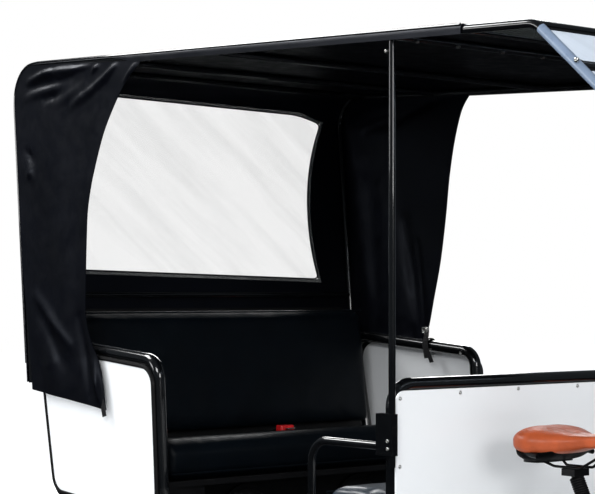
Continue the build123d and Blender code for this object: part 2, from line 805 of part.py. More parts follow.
with BuildPart() as front_yoke:
    add_tube([steer_point(0, -rider_y), steer_point(0, rider_y)], frame_tube)
    sleeves = (
        # place across, length, outer diameter
        (-rider_y, sleeve_length, 36.0),
        (0.0, head_length, 44.0),
        (rider_y, sleeve_length, 36.0),
    )
    for y, length, outer in sleeves:
        with Locations(Plane(origin=steer_point(0, y), z_dir=steer_dir)):
            Cylinder(outer / 2, length)
    for y, bore in ((-rider_y, column_radius), (0.0, steerer_radius), (rider_y, column_radius)):
        with Locations(Plane(origin=steer_point(0, y), z_dir=steer_dir)):
            Cylinder(bore + run_gap, head_length + 10, mode=Mode.SUBTRACT)
save(front_yoke, "front_yoke")

crown_along = -head_length / 2 - 16.0

with BuildPart() as front_fork:
    with BuildSketch(Plane(origin=steer_point(crown_along - 10), z_dir=steer_dir)):
        Circle(steerer_radius)
    extrude(amount=head_length + 34.0)
    crown_plane = Plane(origin=steer_point(crown_along - 12), x_dir=steer_fwd, z_dir=steer_dir)
    with BuildSketch(crown_plane):
        SlotCenterToCenter(116.0, 40.0, rotation=90)
    extrude(amount=24.0)
    with BuildSketch(crown_plane):
        with BuildLine():
            Polyline((0, -16), (steer_arm, -11), (steer_arm, 11), (0, 16), close=True)
        make_face()
        with Locations((steer_arm, 0)):
            Circle(11.0)
    extrude(amount=10.0)
    with BuildSketch(Plane(origin=steer_point(crown_along - 12, 0, steer_arm), z_dir=steer_dir)):
        Circle(5.0)
    extrude(amount=23.0)
    with BuildSketch(Plane(origin=steer_point(crown_along), z_dir=steer_dir)):
        Circle(20.0)
    extrude(amount=-crown_along - head_length / 2 - 0.5)
    for y in (-58.0, 58.0):
        add_tube([steer_point(crown_along, y), (front_axle_x, y, axle_z)], 26.0)
    with Locations(Plane(origin=(front_axle_x, 0, axle_z), z_dir=(0, 1, 0))):
        Cylinder(5.0, 164.0)
save(front_fork, "front_fork")


def add_guard(centre_x, centre_y, inner, start, end, width):
    """Adds a curved mudguard with turned-in edges over a wheel, between two angles from straight ahead."""
    ray = Vector(cos(radians(start)), 0, sin(radians(start)))
    centre = Vector(centre_x, centre_y, axle_z)
    with BuildSketch(Plane(origin=centre, x_dir=ray, z_dir=ray.cross(Vector(0, 1, 0)))) as profile:
        with Locations((inner + guard_sheet / 2, 0)):
            Rectangle(guard_sheet, width)
        with Locations((inner - 4, width / 2 - guard_sheet / 2), (inner - 4, guard_sheet / 2 - width / 2)):
            Rectangle(14.0, guard_sheet)
    revolve(profile.sketch, axis=Axis((centre_x, centre_y, axle_z), (0, -1, 0)), revolution_arc=end - start)


guard_inner = tyre_radius + guard_gap
front_guard_inner = tyre_radius + 30.0

with BuildPart() as front_mudguard:
    add_guard(front_axle_x, 0.0, front_guard_inner, 30.0, 165.0, 74.0)
    front_axle = Vector(front_axle_x, 0, axle_z)
    tab_way = steer_point(crown_along - 12.0) - front_axle
    with BuildSketch(Plane(origin=front_axle, x_dir=(0, 1, 0), z_dir=tab_way).offset(front_guard_inner + 1)):
        Rectangle(40.0, 16.0)
    extrude(amount=tab_way.length - front_guard_inner + 12)
    for y in (-1, 1):
        with BuildSketch(Plane(origin=(front_axle_x, y * 74.5, axle_z), z_dir=(0, y, 0))):
            Circle(10.0)
            Circle(5.0 + run_gap, mode=Mode.SUBTRACT)
        extrude(amount=5.0)
        for angle in (44.0, 158.0):
            ray = Vector(cos(radians(angle)), 0, sin(radians(angle)))
            eye = front_axle + ray * 8 + Vector(0, y * 77, 0)
            add_tube([eye, front_axle + ray * (front_guard_inner - 3) + Vector(0, y * 35.5, 0)], 6.0)
    add(front_fork.part, mode=Mode.SUBTRACT)
save(front_mudguard, "front_mudguard")

with BuildPart() as rear_mudguards:
    add_guard(axle_x, -wheel_y, guard_inner, 24.0, 150.0, guard_width)
    for x, y in ((axle_x, -wheel_y - 24), (axle_x, -wheel_y + 24)):
        with Locations((x, y, (axle_z + guard_inner + pan_bottom) / 2)):
            Box(150.0, 10.0, pan_bottom - axle_z - guard_inner - seat_gap * 2 - 1)
    mirror(about=Plane.XZ)
save(rear_mudguards, "rear_mudguards")

# Wheels: rim, crossed wire spokes and hub in one piece, tyre seated round the rim

spoke_angle = 360.0 / spoke_pairs
hub_side = hub_width / 2 - 6.0
spoke_lead = 58.0
spoke_ends = []
for index in range(spoke_pairs):
    side = 1 if index % 2 else -1
    for turn in (-1, 1):
        rim_at = radians(index * spoke_angle + turn * spoke_angle / 4)
        hub_at = rim_at + turn * radians(spoke_lead)
        foot = Vector(
            (flange_radius - 4) * cos(hub_at),
            side * (hub_side + 1.6 * turn),
            (flange_radius - 4) * sin(hub_at),
        )
        tip_radius = rim_radius - rim_depth + 3
        tip = Vector(tip_radius * cos(rim_at), side * 3.0, tip_radius * sin(rim_at))
        spoke_ends.append((foot, tip))

with BuildPart() as wire_wheel:
    with BuildSketch(Plane.XY) as half_section:
        with BuildLine():
            Polyline(
                (rim_radius - rim_depth, -rim_width / 2 + 8),
                (rim_radius - 4, -rim_width / 2),
                (rim_radius, -rim_width / 2),
                (rim_radius, -rim_width / 2 + 3),
                (rim_radius - 5, -rim_width / 2 + 5),
                (rim_radius - 5, rim_width / 2 - 5),
                (rim_radius, rim_width / 2 - 3),
                (rim_radius, rim_width / 2),
                (rim_radius - 4, rim_width / 2),
                (rim_radius - rim_depth, rim_width / 2 - 8),
                close=True,
            )
        make_face()
    revolve(half_section.sketch, axis=Axis.Y)
    with Locations(Plane(origin=(0, 0, 0), z_dir=(0, 1, 0))):
        Cylinder(hub_radius - 6, hub_width)
        with Locations((0, 0, hub_side), (0, 0, -hub_side)):
            Cylinder(flange_radius, 5.0)
    spoke_planes = [Plane(origin=foot, z_dir=tip - foot) for foot, tip in spoke_ends]
    with Locations(*spoke_planes):
        Cylinder(
            spoke_size / 2,
            (spoke_ends[0][1] - spoke_ends[0][0]).length,
            align=(Align.CENTER, Align.CENTER, Align.MIN),
        )

with BuildPart() as tyre_ring:
    with BuildSketch(Plane.XY) as tyre_section:
        with Locations((tyre_radius - tyre_width / 2, 0)):
            Circle(tyre_width / 2)
        with Locations((rim_radius + seat_gap - 20.0, 0)):
            Rectangle(40.0, tyre_width + 10, mode=Mode.SUBTRACT)
        with BuildLine():
            Polyline(
                (rim_radius - 5 + seat_gap, -rim_width / 2 + 5.4),
                (rim_radius, -rim_width / 2 + 3.4),
                (rim_radius + 8, -rim_width / 2 + 3.4),
                (rim_radius + 8, rim_width / 2 - 3.4),
                (rim_radius, rim_width / 2 - 3.4),
                (rim_radius - 5 + seat_gap, rim_width / 2 - 5.4),
                close=True,
            )
        make_face()
    revolve(tyre_section.sketch, axis=Axis.Y)

with BuildPart() as front_wheel:
    with Locations((front_axle_x, 0, axle_z)):
        add(wire_wheel.part)
    with Locations(Plane(origin=(front_axle_x, 0, axle_z), z_dir=(0, 1, 0))):
        Cylinder(5.0 + run_gap, hub_width + 10, mode=Mode.SUBTRACT)
save(front_wheel, "front_wheel")

with BuildPart() as front_tyre:
    with Locations((front_axle_x, 0, axle_z)):
        add(tyre_ring.part)
save(front_tyre, "front_tyre")

with BuildPart() as rear_wheel_right:
    with Locations((axle_x, -wheel_y, axle_z)):
        add(wire_wheel.part)
    with Locations(Plane(origin=(axle_x, -wheel_y, axle_z), z_dir=(0, 1, 0))):
        Cylinder(shaft_radius + run_gap, hub_width + 10, mode=Mode.SUBTRACT)
save(rear_wheel_right, "rear_wheel_right")

with BuildPart() as rear_wheel_left:
    mirror(rear_wheel_right.part, about=Plane.XZ)
save(rear_wheel_left, "rear_wheel_left")

hub_face = wheel_y + hub_width / 2

with BuildPart() as rear_shaft_right:
    turned_parts = (
        # radius, outer end, inner end
        (shaft_radius, hub_face + 10, 240.0),
        (16.0, hub_face + 6, hub_face + run_gap),
        (15.0, inner_bearing_y + bearing_length / 2 + 8, inner_bearing_y + bearing_length / 2 + 0.5),
        (15.0, outer_bearing_y - bearing_length / 2 - 0.5, outer_bearing_y - bearing_length / 2 - 8),
        (22.0, chain_y + 12, chain_y - 12),
    )
    for radius, outer_end, inner_end in turned_parts:
        with BuildSketch(Plane(origin=(axle_x, -outer_end, axle_z), x_dir=(1, 0, 0), z_dir=(0, 1, 0))):
            Circle(radius)
        extrude(amount=outer_end - inner_end)
    with BuildSketch(Plane(origin=(axle_x, -chain_y - 2, axle_z), x_dir=(1, 0, 0), z_dir=(0, 1, 0))):
        Circle(sprocket_pitch - 8)
        with PolarLocations(sprocket_pitch - 7, 22):
            RegularPolygon(3.0, 3)
    extrude(amount=4.0)
save(rear_shaft_right, "rear_shaft_right")

with BuildPart() as rear_shaft_left:
    mirror(rear_shaft_right.part, about=Plane.XZ)
save(rear_shaft_left, "rear_shaft_left")

with BuildPart() as rear_tyre_right:
    with Locations((axle_x, -wheel_y, axle_z)):
        add(tyre_ring.part)
save(rear_tyre_right, "rear_tyre_right")

with BuildPart() as rear_tyre_left:
    with Locations((axle_x, wheel_y, axle_z)):
        add(tyre_ring.part)
save(rear_tyre_left, "rear_tyre_left")

# Chains: one guarded loop from each rider's ring to the rear wheel behind that rider

with BuildPart() as chains:
    with BuildSketch(Plane.XZ.offset(chain_y - chain_width / 2)):
        with Locations((crank_x, crank_z)):
            Circle(ring_pitch + 4)
        with Locations((axle_x, axle_z)):
            Circle(sprocket_pitch + 4)
        make_hull()
        with BuildSketch(Plane.XY, mode=Mode.PRIVATE) as inside:
            with Locations((crank_x, crank_z)):
                Circle(ring_pitch - 3.5)
            with Locations((axle_x, axle_z)):
                Circle(sprocket_pitch - 3.5)
            make_hull()
        add(inside.sketch, mode=Mode.SUBTRACT)
    extrude(amount=chain_width)
    mirror(about=Plane.XZ)
save(chains, "chains")

# Cranksets: spindle, ring with spider, and two arms that end in pedal pins

arm_outer_y = 347.0
arm_inner_y = 232.0
arm_thick = 14.0
pin_radius = 6.0
pin_length = 100.0


def along_y(y):
    """Plane whose normal points along +Y at the crank's centre."""
    return Plane(origin=(crank_x, y, crank_z), x_dir=(1, 0, 0), z_dir=(0, 1, 0))


with BuildPart() as crankset_right:
    with BuildSketch(along_y(-arm_outer_y - 1)):
        Circle(9.0)
    extrude(amount=arm_outer_y - arm_inner_y + 2)
    for y, turn in ((-arm_outer_y - arm_thick, -1), (-arm_inner_y, 1)):
        with BuildSketch(along_y(y)):
            with Locations((turn * -crank_length / 2, 0)):
                SlotCenterToCenter(crank_length, 30.0)
            Circle(19.0)
        extrude(amount=arm_thick)
    with BuildSketch(along_y(-arm_outer_y - arm_thick - pin_length)):
        with Locations((crank_length, 0)):
            Circle(pin_radius)
    extrude(amount=pin_length + 2)
    with BuildSketch(along_y(-arm_inner_y + arm_thick - 2)):
        with Locations((-crank_length, 0)):
            Circle(pin_radius)
    extrude(amount=pin_length + 2)
    with BuildSketch(along_y(-chain_y - 2)):
        Circle(ring_pitch - 8)
        with PolarLocations(ring_pitch - 7, 34):
            RegularPolygon(3.0, 3)
        with PolarLocations(44.0, 5):
            Circle(15.0, mode=Mode.SUBTRACT)
    extrude(amount=4.0)
    with BuildSketch(along_y(-arm_outer_y - 1)):
        Circle(24.0)
    extrude(amount=arm_outer_y - chain_y + 2)
save(crankset_right, "crankset_right")

with BuildPart() as crankset_left:
    mirror(crankset_right.part, about=Plane.XZ)
save(crankset_left, "crankset_left")

outer_pedal_y = arm_outer_y + arm_thick + 8 + pedal_length / 2
inner_pedal_y = arm_inner_y - arm_thick - 8 - pedal_length / 2
pedal_places = (
    # name, place across the vehicle, side of the crank
    ("pedal_right_outer", -outer_pedal_y, 1),
    ("pedal_right_inner", -inner_pedal_y, -1),
    ("pedal_left_inner", inner_pedal_y, -1),
    ("pedal_left_outer", outer_pedal_y, 1),
)

for name, y, turn in pedal_places:
    with BuildPart() as pedal:
        with Locations((crank_x + turn * crank_length, y, crank_z)):
            Box(pedal_width, pedal_length, pedal_height)
            with Locations((-26.0, 0), (26.0, 0)):
                Box(22.0, pedal_length - 16, pedal_height, mode=Mode.SUBTRACT)
        with BuildSketch(along_y(y - pedal_length / 2)):
            with Locations((turn * crank_length, 0)):
                Circle(pin_radius + run_gap)
        extrude(amount=pedal_length, mode=Mode.SUBTRACT)
    save(pedal, name)

# Steering column with the right rider's bar, its fixed twin on the left, and the drag link to the fork

arm_along = crown_along - 12.0
arm_sheet = 10.0
column_top = 213.0
bar_x = 862.0
bar_z = 1022.0
bar_reach = 250.0


def add_bars(y, foot):
    """Adds a column with its stem and a swept handlebar at one rider's place."""
    with BuildSketch(Plane(origin=steer_point(foot, y), z_dir=steer_dir)) as column:
        Circle(column_radius)
    extrude(column.sketch, amount=column_top - foot)
    stem_start = steer_point(column_top, y)
    stem_end = Vector(bar_x + 48.0, y, bar_z - 12.0)
    add_tube([stem_start - steer_dir * 18, stem_start + steer_dir * 4], 32.0)
    add_tube([stem_start - steer_dir * 7, stem_end], 20.0)
    add_tube([stem_end - Vector(0, 22, 0), stem_end + Vector(0, 22, 0)], 32.0)
    bend = [
        (bar_x - 30, y - bar_reach, bar_z - 8),
        (bar_x + 20, y - bar_reach + 90, bar_z),
        (bar_x + 48, y - 70, bar_z - 12),
        (bar_x + 48, y + 70, bar_z - 12),
        (bar_x + 20, y + bar_reach - 90, bar_z),
        (bar_x - 30, y + bar_reach, bar_z - 8),
    ]
    add_tube(bend, roof_tube, (60.0, 60.0, 60.0, 60.0))
    for side in (-1, 1):
        grip_end = Vector(bar_x - 32, y + side * (bar_reach + 4), bar_z - 8.3)
        grip_way = Vector(50, -side * 90, 8).normalized()
        add_tube([grip_end, grip_end + grip_way * 118], 32.0)


with BuildPart() as steering_handlebar:
    add_bars(-rider_y, arm_along)
    with BuildSketch(Plane(origin=steer_point(arm_along, -rider_y), x_dir=steer_fwd, z_dir=steer_dir)):
        Circle(20.0)
        with BuildLine():
            Polyline((0, -18), (steer_arm, -11), (steer_arm, 11), (0, 18), close=True)
        make_face()
        with Locations((steer_arm, 0)):
            Circle(11.0)
    extrude(amount=arm_sheet)
    with BuildSketch(Plane(origin=steer_point(arm_along, -rider_y, steer_arm), z_dir=steer_dir)):
        Circle(5.0)
    extrude(amount=arm_sheet + 13.0)
    for low in (-sleeve_length / 2 - 12.5, sleeve_length / 2 + 0.5):
        with BuildSketch(Plane(origin=steer_point(low, -rider_y), z_dir=steer_dir)):
            Circle(18.0)
        extrude(amount=12.0)
save(steering_handlebar, "steering_handlebar")

with BuildPart() as fixed_handlebar:
    add_bars(rider_y, -sleeve_length / 2 - 14)
    for low in (-sleeve_length / 2 - 12.5, sleeve_length / 2 + 0.5):
        with BuildSketch(Plane(origin=steer_point(low, rider_y), z_dir=steer_dir)):
            Circle(18.0)
        extrude(amount=12.0)
save(fixed_handlebar, "fixed_handlebar")

with BuildPart() as drag_link:
    link_foot = steer_point(arm_along + arm_sheet + seat_gap, 0, steer_arm)
    link_plane = Plane(origin=link_foot, x_dir=(0, -1, 0), z_dir=steer_dir)
    with BuildSketch(link_plane):
        with Locations((rider_y / 2, 0)):
            SlotCenterToCenter(rider_y, 22.0)
        with Locations((0, 0), (rider_y, 0)):
            Circle(5.0 + run_gap, mode=Mode.SUBTRACT)
    extrude(amount=8.0)
save(drag_link, "drag_link")

# Lamps

with BuildPart() as headlamp:
    lamp_plane = Plane(origin=(steer_point(0).X + 68.0, 0, head_z + 8.0), z_dir=(1, 0, 0))
    with BuildSketch(lamp_plane):
        Circle(48.0)
    with BuildSketch(lamp_plane.offset(-46.0)):
        Circle(24.0)
    loft()
    with BuildSketch(lamp_plane):
        Circle(50.0)
    extrude(amount=12.0)
    add(front_yoke.part, mode=Mode.SUBTRACT)
save(headlamp, "headlamp")

with BuildPart() as tail_lamps:
    with BuildSketch(rear_plane.offset(-bar_tube / 2 - sheet - seat_gap)):
        with Locations((-540.0, -150.0), (540.0, -150.0)):
            RectangleRounded(110.0, 60.0, 10.0)
    extrude(amount=-26.0)
save(tail_lamps, "tail_lamps")
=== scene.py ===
from math import atan2, copysign, cos, dist, exp, hypot, pi, radians, sin, sqrt, tan

import bpy
from mathutils import Matrix, Vector, noise


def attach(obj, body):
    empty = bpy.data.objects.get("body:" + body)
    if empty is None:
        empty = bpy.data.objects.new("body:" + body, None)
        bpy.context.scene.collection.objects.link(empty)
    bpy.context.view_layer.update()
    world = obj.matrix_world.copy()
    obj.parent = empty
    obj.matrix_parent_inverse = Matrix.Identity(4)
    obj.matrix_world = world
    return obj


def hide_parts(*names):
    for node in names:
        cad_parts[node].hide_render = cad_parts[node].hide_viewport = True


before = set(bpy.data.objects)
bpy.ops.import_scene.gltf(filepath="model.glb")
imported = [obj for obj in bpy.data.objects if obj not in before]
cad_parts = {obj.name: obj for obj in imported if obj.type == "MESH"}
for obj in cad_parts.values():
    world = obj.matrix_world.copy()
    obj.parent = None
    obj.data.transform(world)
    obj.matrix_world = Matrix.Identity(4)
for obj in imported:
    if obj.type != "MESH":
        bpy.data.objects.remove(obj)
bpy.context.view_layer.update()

print("frame loaded:", len(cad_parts), "nodes")


# the camera stands where the photograph was taken from: level, to the front right of the vehicle
cameraSetup = {"place": (3.514, -3.769, 1.234), "heading": 50.1, "lens": 108.3, "shiftY": 0.0807, "farEnd": 60}

bpy.ops.object.select_all(action="DESELECT")
bpy.ops.object.camera_add(
    location=cameraSetup["place"],
    rotation=(radians(90), 0, radians(cameraSetup["heading"])),
)
camera = bpy.context.object
camera.data.sensor_width = 36
camera.data.sensor_fit = "HORIZONTAL"
camera.data.lens = cameraSetup["lens"]
camera.data.shift_y = cameraSetup["shiftY"]
camera.data.clip_end = cameraSetup["farEnd"]
bpy.context.scene.camera = camera


# soft boxes: place, aim, size, watts
lightSetup = {
    "key": ((3.2, -5.6, 4.8), (-0.3, 0, 1.0), 3.0, 225),
    "front": ((6.8, -1.6, 2.8), (0.2, 0, 0.9), 2.8, 150),
    "top": ((-3.4, -2.2, 4.6), (-1.2, -0.7, 1.8), 2.6, 190),
    "rear": ((-4.8, 3.6, 3.8), (-0.6, 0, 1.1), 3.0, 170),
    "right": ((-3.4, -5.6, 2.6), (-1.3, -0.7, 1.4), 1.8, 45),
}
for lightName, (place, aim, size, watts) in lightSetup.items():
    bpy.ops.object.light_add(type="AREA", location=place)
    lamp = bpy.context.object
    lamp.name = "light-" + lightName
    lamp.data.shape = "RECTANGLE"
    lamp.data.size = size
    lamp.data.size_y = size * 0.7
    lamp.data.energy = watts
    lamp.rotation_euler = (Vector(aim) - Vector(place)).to_track_quat("-Z", "Y").to_euler()


# a node with what feeds it, its input values and its settings
def addNode(tree, kind, feeds=(), **values):
    node = tree.nodes.new("ShaderNode" + kind)
    for key, value in values.items():
        if key in node.inputs:
            node.inputs[key].default_value = value
        else:
            setattr(node, key, value)
    for key, source in dict(feeds).items():
        tree.links.new(source, node.inputs[key])
    return node


def setInputs(node, values):
    for key, value in values.items():
        node.inputs[key].default_value = value


def addRange(tree, source, fromMin, fromMax, toMin, toMax):
    node = addNode(tree, "MapRange", {"Value": source})
    setInputs(node, {"From Min": fromMin, "From Max": fromMax, "To Min": toMin, "To Max": toMax})
    return node.outputs[0]


# the sky: soft light, white to the camera and behind clear sheets, dim and bluish in glossy surfaces
skySet = {
    "softColour": (0.93, 0.96, 1.0, 1), "softStrength": 0.55, "white": (1, 1, 1, 1),
    "mirrorColour": (0.8, 0.9, 1.0, 1), "mirrorStrength": 0.1,
}
surround = bpy.data.worlds.new("paleSurround")
bpy.context.scene.world = surround
surround.use_nodes = True
sky = surround.node_tree
sky.nodes.clear()
softSky = addNode(sky, "Background", Color=skySet["softColour"], Strength=skySet["softStrength"])
whiteSky = addNode(sky, "Background", Color=skySet["white"], Strength=1.0)
mirrorSky = addNode(sky, "Background", Color=skySet["mirrorColour"], Strength=skySet["mirrorStrength"])
ray = addNode(sky, "LightPath").outputs
seenRay = addNode(sky, "Math", {0: ray["Is Camera Ray"], 1: ray["Is Transmission Ray"]}, operation="MAXIMUM")
unseen = addNode(sky, "MixShader", {0: ray["Is Glossy Ray"], 1: softSky.outputs[0], 2: mirrorSky.outputs[0]})
skyMix = addNode(sky, "MixShader", {0: seenRay.outputs[0], 1: unseen.outputs[0], 2: whiteSky.outputs[0]})
addNode(sky, "OutputWorld", {"Surface": skyMix.outputs[0]})
bpy.context.scene.view_settings.view_transform = "Standard"


finishes = {}


def newMaterial(name):
    material = bpy.data.materials.new(name)
    material.use_nodes = True
    return material, material.node_tree, material.node_tree.nodes["Principled BSDF"]


# keeps a finish and puts it on the CAD nodes named
def keepFinish(name, material, nodeNames):
    finishes[name] = material
    for nodeName in nodeNames:
        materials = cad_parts[nodeName].data.materials
        materials.clear()
        materials.append(material)


# one finish: base colour with slow mottling, uneven roughness and up to two layers of bump
def makeFinish(
    name, nodeNames, colour, rough=0.4, metallic=0.0, coat=0.0, coatRough=0.08, mottle=0.12, mottleScale=6.0,
    roughSpread=0.25, grains=(), specular=0.5, tint=(1, 1, 1), stretch=(1, 1, 1),
):
    material, tree, shader = newMaterial(name)
    setInputs(shader, {
        "Metallic": metallic, "Coat Weight": coat, "Coat Roughness": coatRough,
        "Specular IOR Level": specular, "Specular Tint": (*tint, 1),
    })
    place = addNode(tree, "TexCoord").outputs["Object"]
    vector = {"Vector": addNode(tree, "Mapping", {"Vector": place}, Scale=stretch).outputs[0]}
    cloud = addNode(tree, "TexNoise", vector, Scale=mottleScale, Detail=4.0, Roughness=0.6)
    shade = addNode(tree, "ValToRGB", {"Fac": cloud.outputs["Fac"]})
    for element, position, part in zip(shade.color_ramp.elements, (0.3, 0.7), (1 - mottle, 1 + mottle)):
        element.position = position
        element.color = (*(min(1.0, c * part) for c in colour), 1)
    tree.links.new(shade.outputs["Color"], shader.inputs["Base Color"])
    smudge = addNode(tree, "TexNoise", vector, Scale=mottleScale * 3.1, Detail=5.0, Roughness=0.65)
    least, most = rough * (1 - roughSpread), min(1.0, rough * (1 + roughSpread))
    tree.links.new(addRange(tree, smudge.outputs["Fac"], 0.3, 0.7, least, most), shader.inputs["Roughness"])
    bumps = {}
    for kind, scale, distance, strength in grains:
        if kind == "pebble":
            height = addNode(tree, "TexVoronoi", vector, Scale=scale, feature="SMOOTH_F1").outputs["Distance"]
        elif kind == "weave":
            wave = addNode(tree, "TexWave", vector, Scale=scale, Distortion=1.2, wave_type="BANDS")
            height = wave.outputs["Fac"]
        else:
            height = addNode(tree, "TexNoise", vector, Scale=scale, Detail=6.0, Roughness=0.6).outputs["Fac"]
        bump = addNode(tree, "Bump", {"Height": height, **bumps}, Distance=distance, Strength=strength)
        bumps = {"Normal": bump.outputs["Normal"]}
    if bumps:
        tree.links.new(bumps["Normal"], shader.inputs["Normal"])
    keepFinish(name, material, nodeNames)


# a see-through sheet: how much of it covers what lies behind, with soft diagonal creases
def makeFilm(name, nodeNames, colour, cover, spread, rough, crease, darkBehind=None, darkColour=(0, 0, 0)):
    material, tree, shader = newMaterial(name)
    setInputs(shader, {"Base Color": (*colour, 1), "Roughness": rough, "Specular IOR Level": 0.5})
    place = addNode(tree, "TexCoord").outputs["Object"]
    tilt = addNode(tree, "Mapping", {"Vector": place}, Rotation=(radians(40), 0, 0))
    vector = {"Vector": addNode(tree, "Mapping", {"Vector": tilt.outputs[0]}, Scale=(1, 1, 9)).outputs[0]}
    patch = addNode(tree, "TexNoise", vector, Scale=1.5, Detail=4.0, Roughness=0.55).outputs["Fac"]
    amount = addRange(tree, patch, 0.4, 0.7, cover, min(1.0, cover + spread))
    if darkBehind is not None:
        # behind this place along the vehicle the sheet is dark tinted
        split = addNode(tree, "SeparateXYZ", {0: place})
        dark = addRange(tree, split.outputs["X"], darkBehind, darkBehind + 0.004, 0.96, 0.0)
        amount = addNode(tree, "Math", {0: amount, 1: dark}, operation="MAXIMUM").outputs[0]
        shade = addNode(tree, "Mix", {0: dark}, data_type="RGBA")
        setInputs(shade, {6: (*colour, 1), 7: (*darkColour, 1)})
        tree.links.new(shade.outputs[2], shader.inputs["Base Color"])
    tree.links.new(amount, shader.inputs["Alpha"])
    bump = addNode(tree, "Bump", {"Height": patch}, Distance=crease, Strength=0.5)
    tree.links.new(bump.outputs["Normal"], shader.inputs["Normal"])
    keepFinish(name, material, nodeNames)


# grains are layers of bump: kind, scale, depth and strength
makeFinish(
    "tubeBlack", [
        "chassis_frame", "side_frame_right", "side_frame_left", "rear_frame", "partition_frame", "armrest_loops",
        "roof_rails", "roof_bars", "roof_posts", "rider_frame", "front_yoke", "rear_mudguards", "front_fork",
        "front_mudguard", "outer_rails", "cross_members",
    ], (0.0022, 0.0026, 0.0032), rough=0.2, coat=1.0, coatRough=0.05, specular=0.2, grains=[("soft", 55, 0.0006, 0.1)],
)
makeFinish(
    "satinBlack", ["seat_posts", "saddle_rails", "fixed_handlebar", "steering_handlebar", "drag_link"],
    (0.003, 0.003, 0.0034), rough=0.36, coat=0.05, specular=0.22, grains=[("soft", 220, 0.0004, 0.2)],
)
makeFinish(
    "whitePanel", ["side_panels", "rear_panel", "partition_panel"], (0.8, 0.82, 0.835), rough=0.3, coat=0.2,
    mottle=0.008, mottleScale=2.2, roughSpread=0.08, grains=[("soft", 6, 0.002, 0.1)],
)
makeFinish(
    "blackBoard", ["back_board", "rear_bench_box", "front_bench_box", "bench_speakers"],
    (0.0035, 0.0035, 0.0042), rough=0.5, mottle=0.3, specular=0.22, grains=[("pebble", 420, 0.0005, 0.3)],
)
seatGrain = [("pebble", 520, 0.0005, 0.3), ("soft", 30, 0.0012, 0.12)]
makeFinish(
    "seatVinyl", ["rear_seat_cushion", "rear_backrest"], (0.001, 0.0024, 0.0042), rough=0.44, mottle=0.2,
    specular=0.12, grains=seatGrain,
)
# dark navy vinyl like the rear seats', with a lighter blue-grey base that is partly painted sheen for the sky
# reflected on the glossy cushion
makeFinish(
    "frontSeatVinyl", ["front_bench_cushion"], (0.02, 0.03, 0.043), rough=0.36, coat=0.3, coatRough=0.25,
    mottle=0.2, specular=0.32, grains=seatGrain,
)
makeFinish(
    "canopyVinyl", ["canopy_roof", "canopy_rear_wall", "side_curtains"], (0.0015, 0.0018, 0.0034), rough=0.38,
    mottle=0.25, specular=0.18, tint=(0.74, 0.82, 1.0),
    grains=[("pebble", 700, 0.0004, 0.25), ("soft", 18, 0.002, 0.15)],
)
makeFilm("windowFilm", ["rear_window"], (0.7, 0.72, 0.71), 0.09, 0.07, 0.3, 0.003)
makeFilm(
    "clearFilm", ["clear_panes"], (0.82, 0.9, 1.0), 0.66, 0.12, 0.25, 0.001,
    darkBehind=0.703, darkColour=(0.01, 0.014, 0.009),
)
# painted reflection: this pale blue stands in for the sky reflected along the glossy visor rails
makeFinish(
    "paintedRailReflection", [], (0.19, 0.25, 0.35), rough=0.3, coat=0.6, mottleScale=9, grains=[("soft", 40, 0.001, 0.15)],
)
makeFinish(
    "rubberBlack", ["visor_gasket"], (0.004, 0.004, 0.0045), rough=0.5, mottle=0.2, specular=0.16,
    grains=[("soft", 260, 0.0004, 0.3)],
)
makeFinish(
    "tanLeather", ["saddles"], (0.38, 0.075, 0.024), rough=0.4, specular=0.25, mottle=0.2, mottleScale=18,
    grains=[("pebble", 620, 0.0005, 0.3), ("soft", 60, 0.0008, 0.2)],
)
makeFinish("saddleThread", [], (0.11, 0.038, 0.018), rough=0.6, grains=[("weave", 500, 0.0004, 0.5)])
makeFinish("chainSteel", ["chains"], (0.24, 0.22, 0.19), rough=0.36, metallic=1.0, mottle=0.35, mottleScale=30)
makeFinish("redPlastic", ["seat_belt_buckle"], (0.52, 0.012, 0.014), rough=0.28, coat=0.3, mottle=0.08)
makeFinish(
    "redLens", ["tail_lamps"], (0.42, 0.01, 0.01), rough=0.12, coat=0.8, mottle=0.15,
    grains=[("weave", 90, 0.001, 0.5)],
)
makeFinish("lampSilver", ["headlamp"], (0.78, 0.79, 0.8), rough=0.12, metallic=1.0, mottle=0.04)
makeFinish(
    "tyreRubber", ["front_tyre", "rear_tyre_right", "rear_tyre_left"], (0.018, 0.018, 0.019), rough=0.72, mottle=0.3,
    grains=[("soft", 180, 0.0008, 0.4)],
)
makeFinish(
    "wheelSteel", ["front_wheel", "rear_wheel_right", "rear_wheel_left"], (0.6, 0.61, 0.63), rough=0.22,
    metallic=1.0, mottle=0.08,
)
makeFinish(
    "crankAlloy", ["crankset_right", "crankset_left", "rear_shaft_right", "rear_shaft_left"], (0.52, 0.53, 0.55),
    rough=0.3, metallic=1.0, stretch=(1, 8, 1),
)
makeFinish(
    "pedalPlastic", ["pedal_right_outer", "pedal_right_inner", "pedal_left_inner", "pedal_left_outer"],
    (0.016, 0.016, 0.017), rough=0.6, grains=[("pebble", 260, 0.0008, 0.5)],
)
makeFinish(
    "castGrey", ["axle_bearings"], (0.12, 0.12, 0.125), rough=0.5, metallic=0.7, grains=[("soft", 150, 0.001, 0.5)],
)
makeFinish(
    "floorBoard", ["floor_panel"], (0.03, 0.03, 0.034), rough=0.6, mottle=0.25,
    grains=[("pebble", 120, 0.0015, 0.6)],
)
makeFinish("boltZinc", [], (0.62, 0.62, 0.6), rough=0.3, metallic=1.0, mottle=0.15, mottleScale=60)
makeFinish("gripRubber", [], (0.02, 0.02, 0.021), rough=0.65, grains=[("pebble", 300, 0.0012, 0.6)])
makeFinish("speakerMesh", [], (0.006, 0.006, 0.007), specular=0.3, grains=[("pebble", 330, 0.0015, 0.9)])
makeFinish("shellBlack", [], (0.0025, 0.0025, 0.0028), rough=0.55, specular=0.03, grains=[("soft", 260, 0.0004, 0.3)])
makeFinish("webbing", [], (0.008, 0.008, 0.0095), rough=0.6, specular=0.4, grains=[("weave", 420, 0.0006, 0.6)])
print("finishes set")


